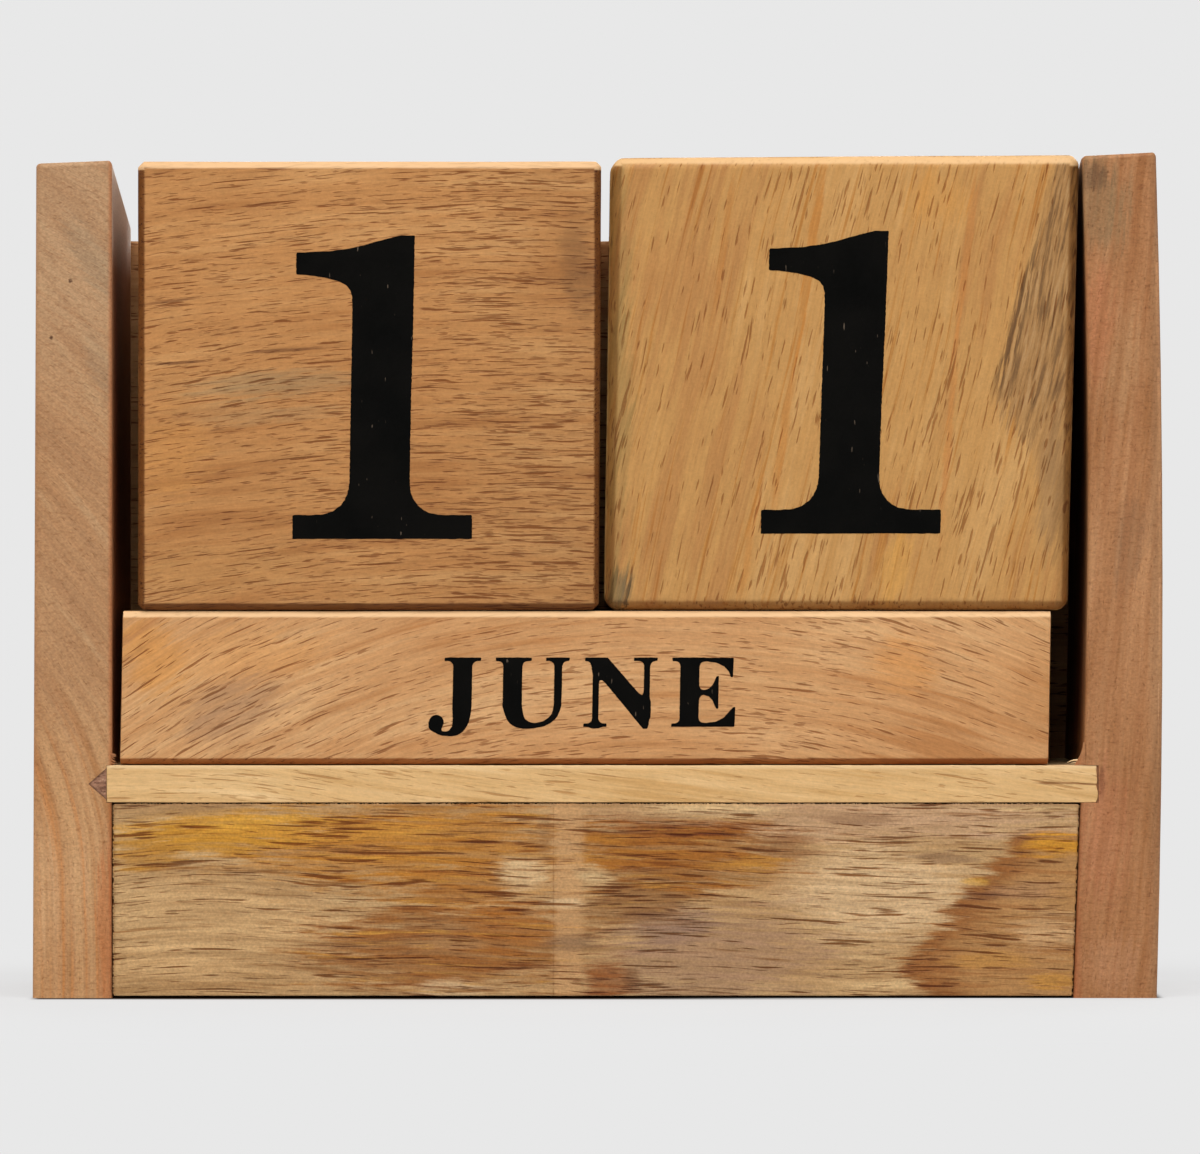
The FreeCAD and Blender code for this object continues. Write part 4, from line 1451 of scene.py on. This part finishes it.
black = ink()
number_printer = Printer(DIGITS, step=0.006, melt=0.12, gap=0.1)
name_printer = Printer(LETTERS, step=0.015, melt=0.09, gap=0.213)
NUMBER_HEIGHT, NAME_HEIGHT = 40.3, 9.17
LEFT_SHIFT, RIGHT_SHIFT, NAME_SHIFT = (1.8, -0.2), (1.75, 0.1), (-0.4, -0.6)
LEFT_NUMBERS = {"front": "1", "right": "3", "back": "2", "left": "4", "top": "0", "foot": "5"}
RIGHT_NUMBERS = {"front": "1", "right": "6", "back": "2", "left": "8", "top": "7", "foot": "0"}
NAMES = {
    "front": {"front": "JUNE", "top": "JULY", "back": "AUGUST", "foot": "MAY"},
    "middle": {"front": "JANUARY", "top": "FEBRUARY", "back": "MARCH", "foot": "APRIL"},
    "rear": {"front": "SEPTEMBER", "top": "OCTOBER", "back": "NOVEMBER", "foot": "DECEMBER"},
}
number_printer.on(
    "cube_left_numbers", LEFT_CUBE, LEFT_NUMBERS, NUMBER_HEIGHT, LEFT_SHIFT, black,
    "date_cube_left",
)
number_printer.on(
    "cube_right_numbers", RIGHT_CUBE, RIGHT_NUMBERS, NUMBER_HEIGHT, RIGHT_SHIFT, black,
    "date_cube_right",
)
for place, bar in BARS.items():
    name_printer.on(
        f"month_bar_{place}_names", bar, NAMES[place], NAME_HEIGHT, NAME_SHIFT, black,
        "bar_" + place,
    )

# Floor, background, lights and camera

BACKGROUND = tone(232, 232, 232)
FLOOR_GREY = (0.6, 0.6, 0.6, 1)
CONTACT_BROWN = (0.03, 0.016, 0.008, 1)
EVEN_LIGHT = (0.11, 0.11, 0.115, 1)


def make_floor():
    """A wide sheet that takes the case's shadow near it and fades into the background.

    Right under the case and just in front of it, the camera sees a dark contact shadow, which
    reaches less far towards the right.
    """
    reach = 6.0
    mesh = bpy.data.meshes.new("floor")
    corners = [(-reach, -reach, 0), (reach, -reach, 0), (reach, reach, 0), (-reach, reach, 0)]
    mesh.from_pydata(corners, [], [(0, 1, 2, 3)])
    floor = bpy.data.objects.new("floor", mesh)
    bpy.context.scene.collection.objects.link(floor)
    finish = Finish("floor_sheet")
    tree = finish.tree
    away = finish.node("ShaderNodeVectorMath", {"operation": "LENGTH"}, {0: finish.place}, "Value")
    seen = finish.node("ShaderNodeLightPath", output="Is Camera Ray")
    front, side = round(FRONT), round(cad_bounds[1][0] / MM)
    along = (0.2 + finish.x.rise(60, 0) * 0.8).higher(finish.y.rise(front - 0.5, front + 0.5))
    sides = finish.x.far().rise(side + 1, side - 1)
    contact = finish.y.rise(front - 10, front - 1.5) * finish.y.rise(20, 0) * sides * along * seen
    share = (away.rise(200, 90) * 0.25).higher(contact)
    keep = 1 - seen * (1 - share)
    ground = finish.mixed(contact, FLOOR_GREY, CONTACT_BROWN)
    finish.tree.links.new(ground.socket, finish.surface.inputs["Base Color"])
    finish.surface.inputs["Roughness"].default_value = 0.9
    finish.surface.inputs["Specular IOR Level"].default_value = 0.0
    glow = finish.add("ShaderNodeEmission", {}, {"Color": BACKGROUND, "Strength": 1.0})
    both = finish.add("ShaderNodeMixShader", {}, {0: keep})
    tree.links.new(glow.outputs[0], both.inputs[1])
    tree.links.new(finish.surface.outputs[0], both.inputs[2])
    tree.links.new(both.outputs[0], tree.nodes["Material Output"].inputs["Surface"])
    mesh.materials.append(finish.material)


def make_world():
    """The pale background for the camera, and a dim even light for everything else."""
    world = bpy.data.worlds.new("studio")
    world.use_nodes = True
    bpy.context.scene.world = world
    tree = world.node_tree
    light_path = tree.nodes.new("ShaderNodeLightPath")
    mix = tree.nodes.new("ShaderNodeMix")
    mix.data_type = "RGBA"
    mix.inputs[6].default_value = EVEN_LIGHT
    mix.inputs[7].default_value = BACKGROUND
    tree.links.new(light_path.outputs["Is Camera Ray"], mix.inputs[0])
    tree.links.new(mix.outputs[2], tree.nodes["Background"].inputs["Color"])


def make_lamp(name, place, target, size, power):
    """A square softbox at a place, facing a target, both in millimetres."""
    light = bpy.data.lights.new(name, "AREA")
    light.shape = "RECTANGLE"
    light.size, light.size_y = (length * MM for length in size)
    light.energy = power
    lamp = bpy.data.objects.new(name, light)
    bpy.context.scene.collection.objects.link(lamp)
    lamp.location = Vector(place) * MM
    aim = Vector(target) * MM - lamp.location
    lamp.rotation_euler = aim.to_track_quat("-Z", "Y").to_euler()


def make_camera():
    """A long lens, level, in front of the joint between the cubes."""
    span = 159.3
    distance = 1605.0
    across, height = 0.33, 55.9
    camera = bpy.data.objects.new("camera", bpy.data.cameras.new("camera"))
    bpy.context.scene.collection.objects.link(camera)
    camera.location = Vector((across, FRONT - distance, height)) * MM
    camera.rotation_euler = (math.pi / 2, 0, 0)
    camera.data.sensor_width = 36.0
    camera.data.lens = camera.data.sensor_width * distance / span
    camera.data.clip_end = 50.0
    bpy.context.scene.camera = camera


make_floor()
make_world()
MIDDLE = (0, -30, 60)
make_lamp("key", (60, -460, 980), MIDDLE, (800, 500), 10.3)
make_lamp("fill", (-250, -1100, 900), MIDDLE, (700, 400), 6.35)
make_lamp("back", (150, 1150, 520), MIDDLE, (800, 500), 9.0)
make_lamp("left", (-1150, 250, 480), MIDDLE, (500, 500), 4.0)
make_lamp("right", (1150, 250, 480), MIDDLE, (500, 500), 4.0)
make_camera()
bpy.context.scene.view_settings.view_transform = "Standard"
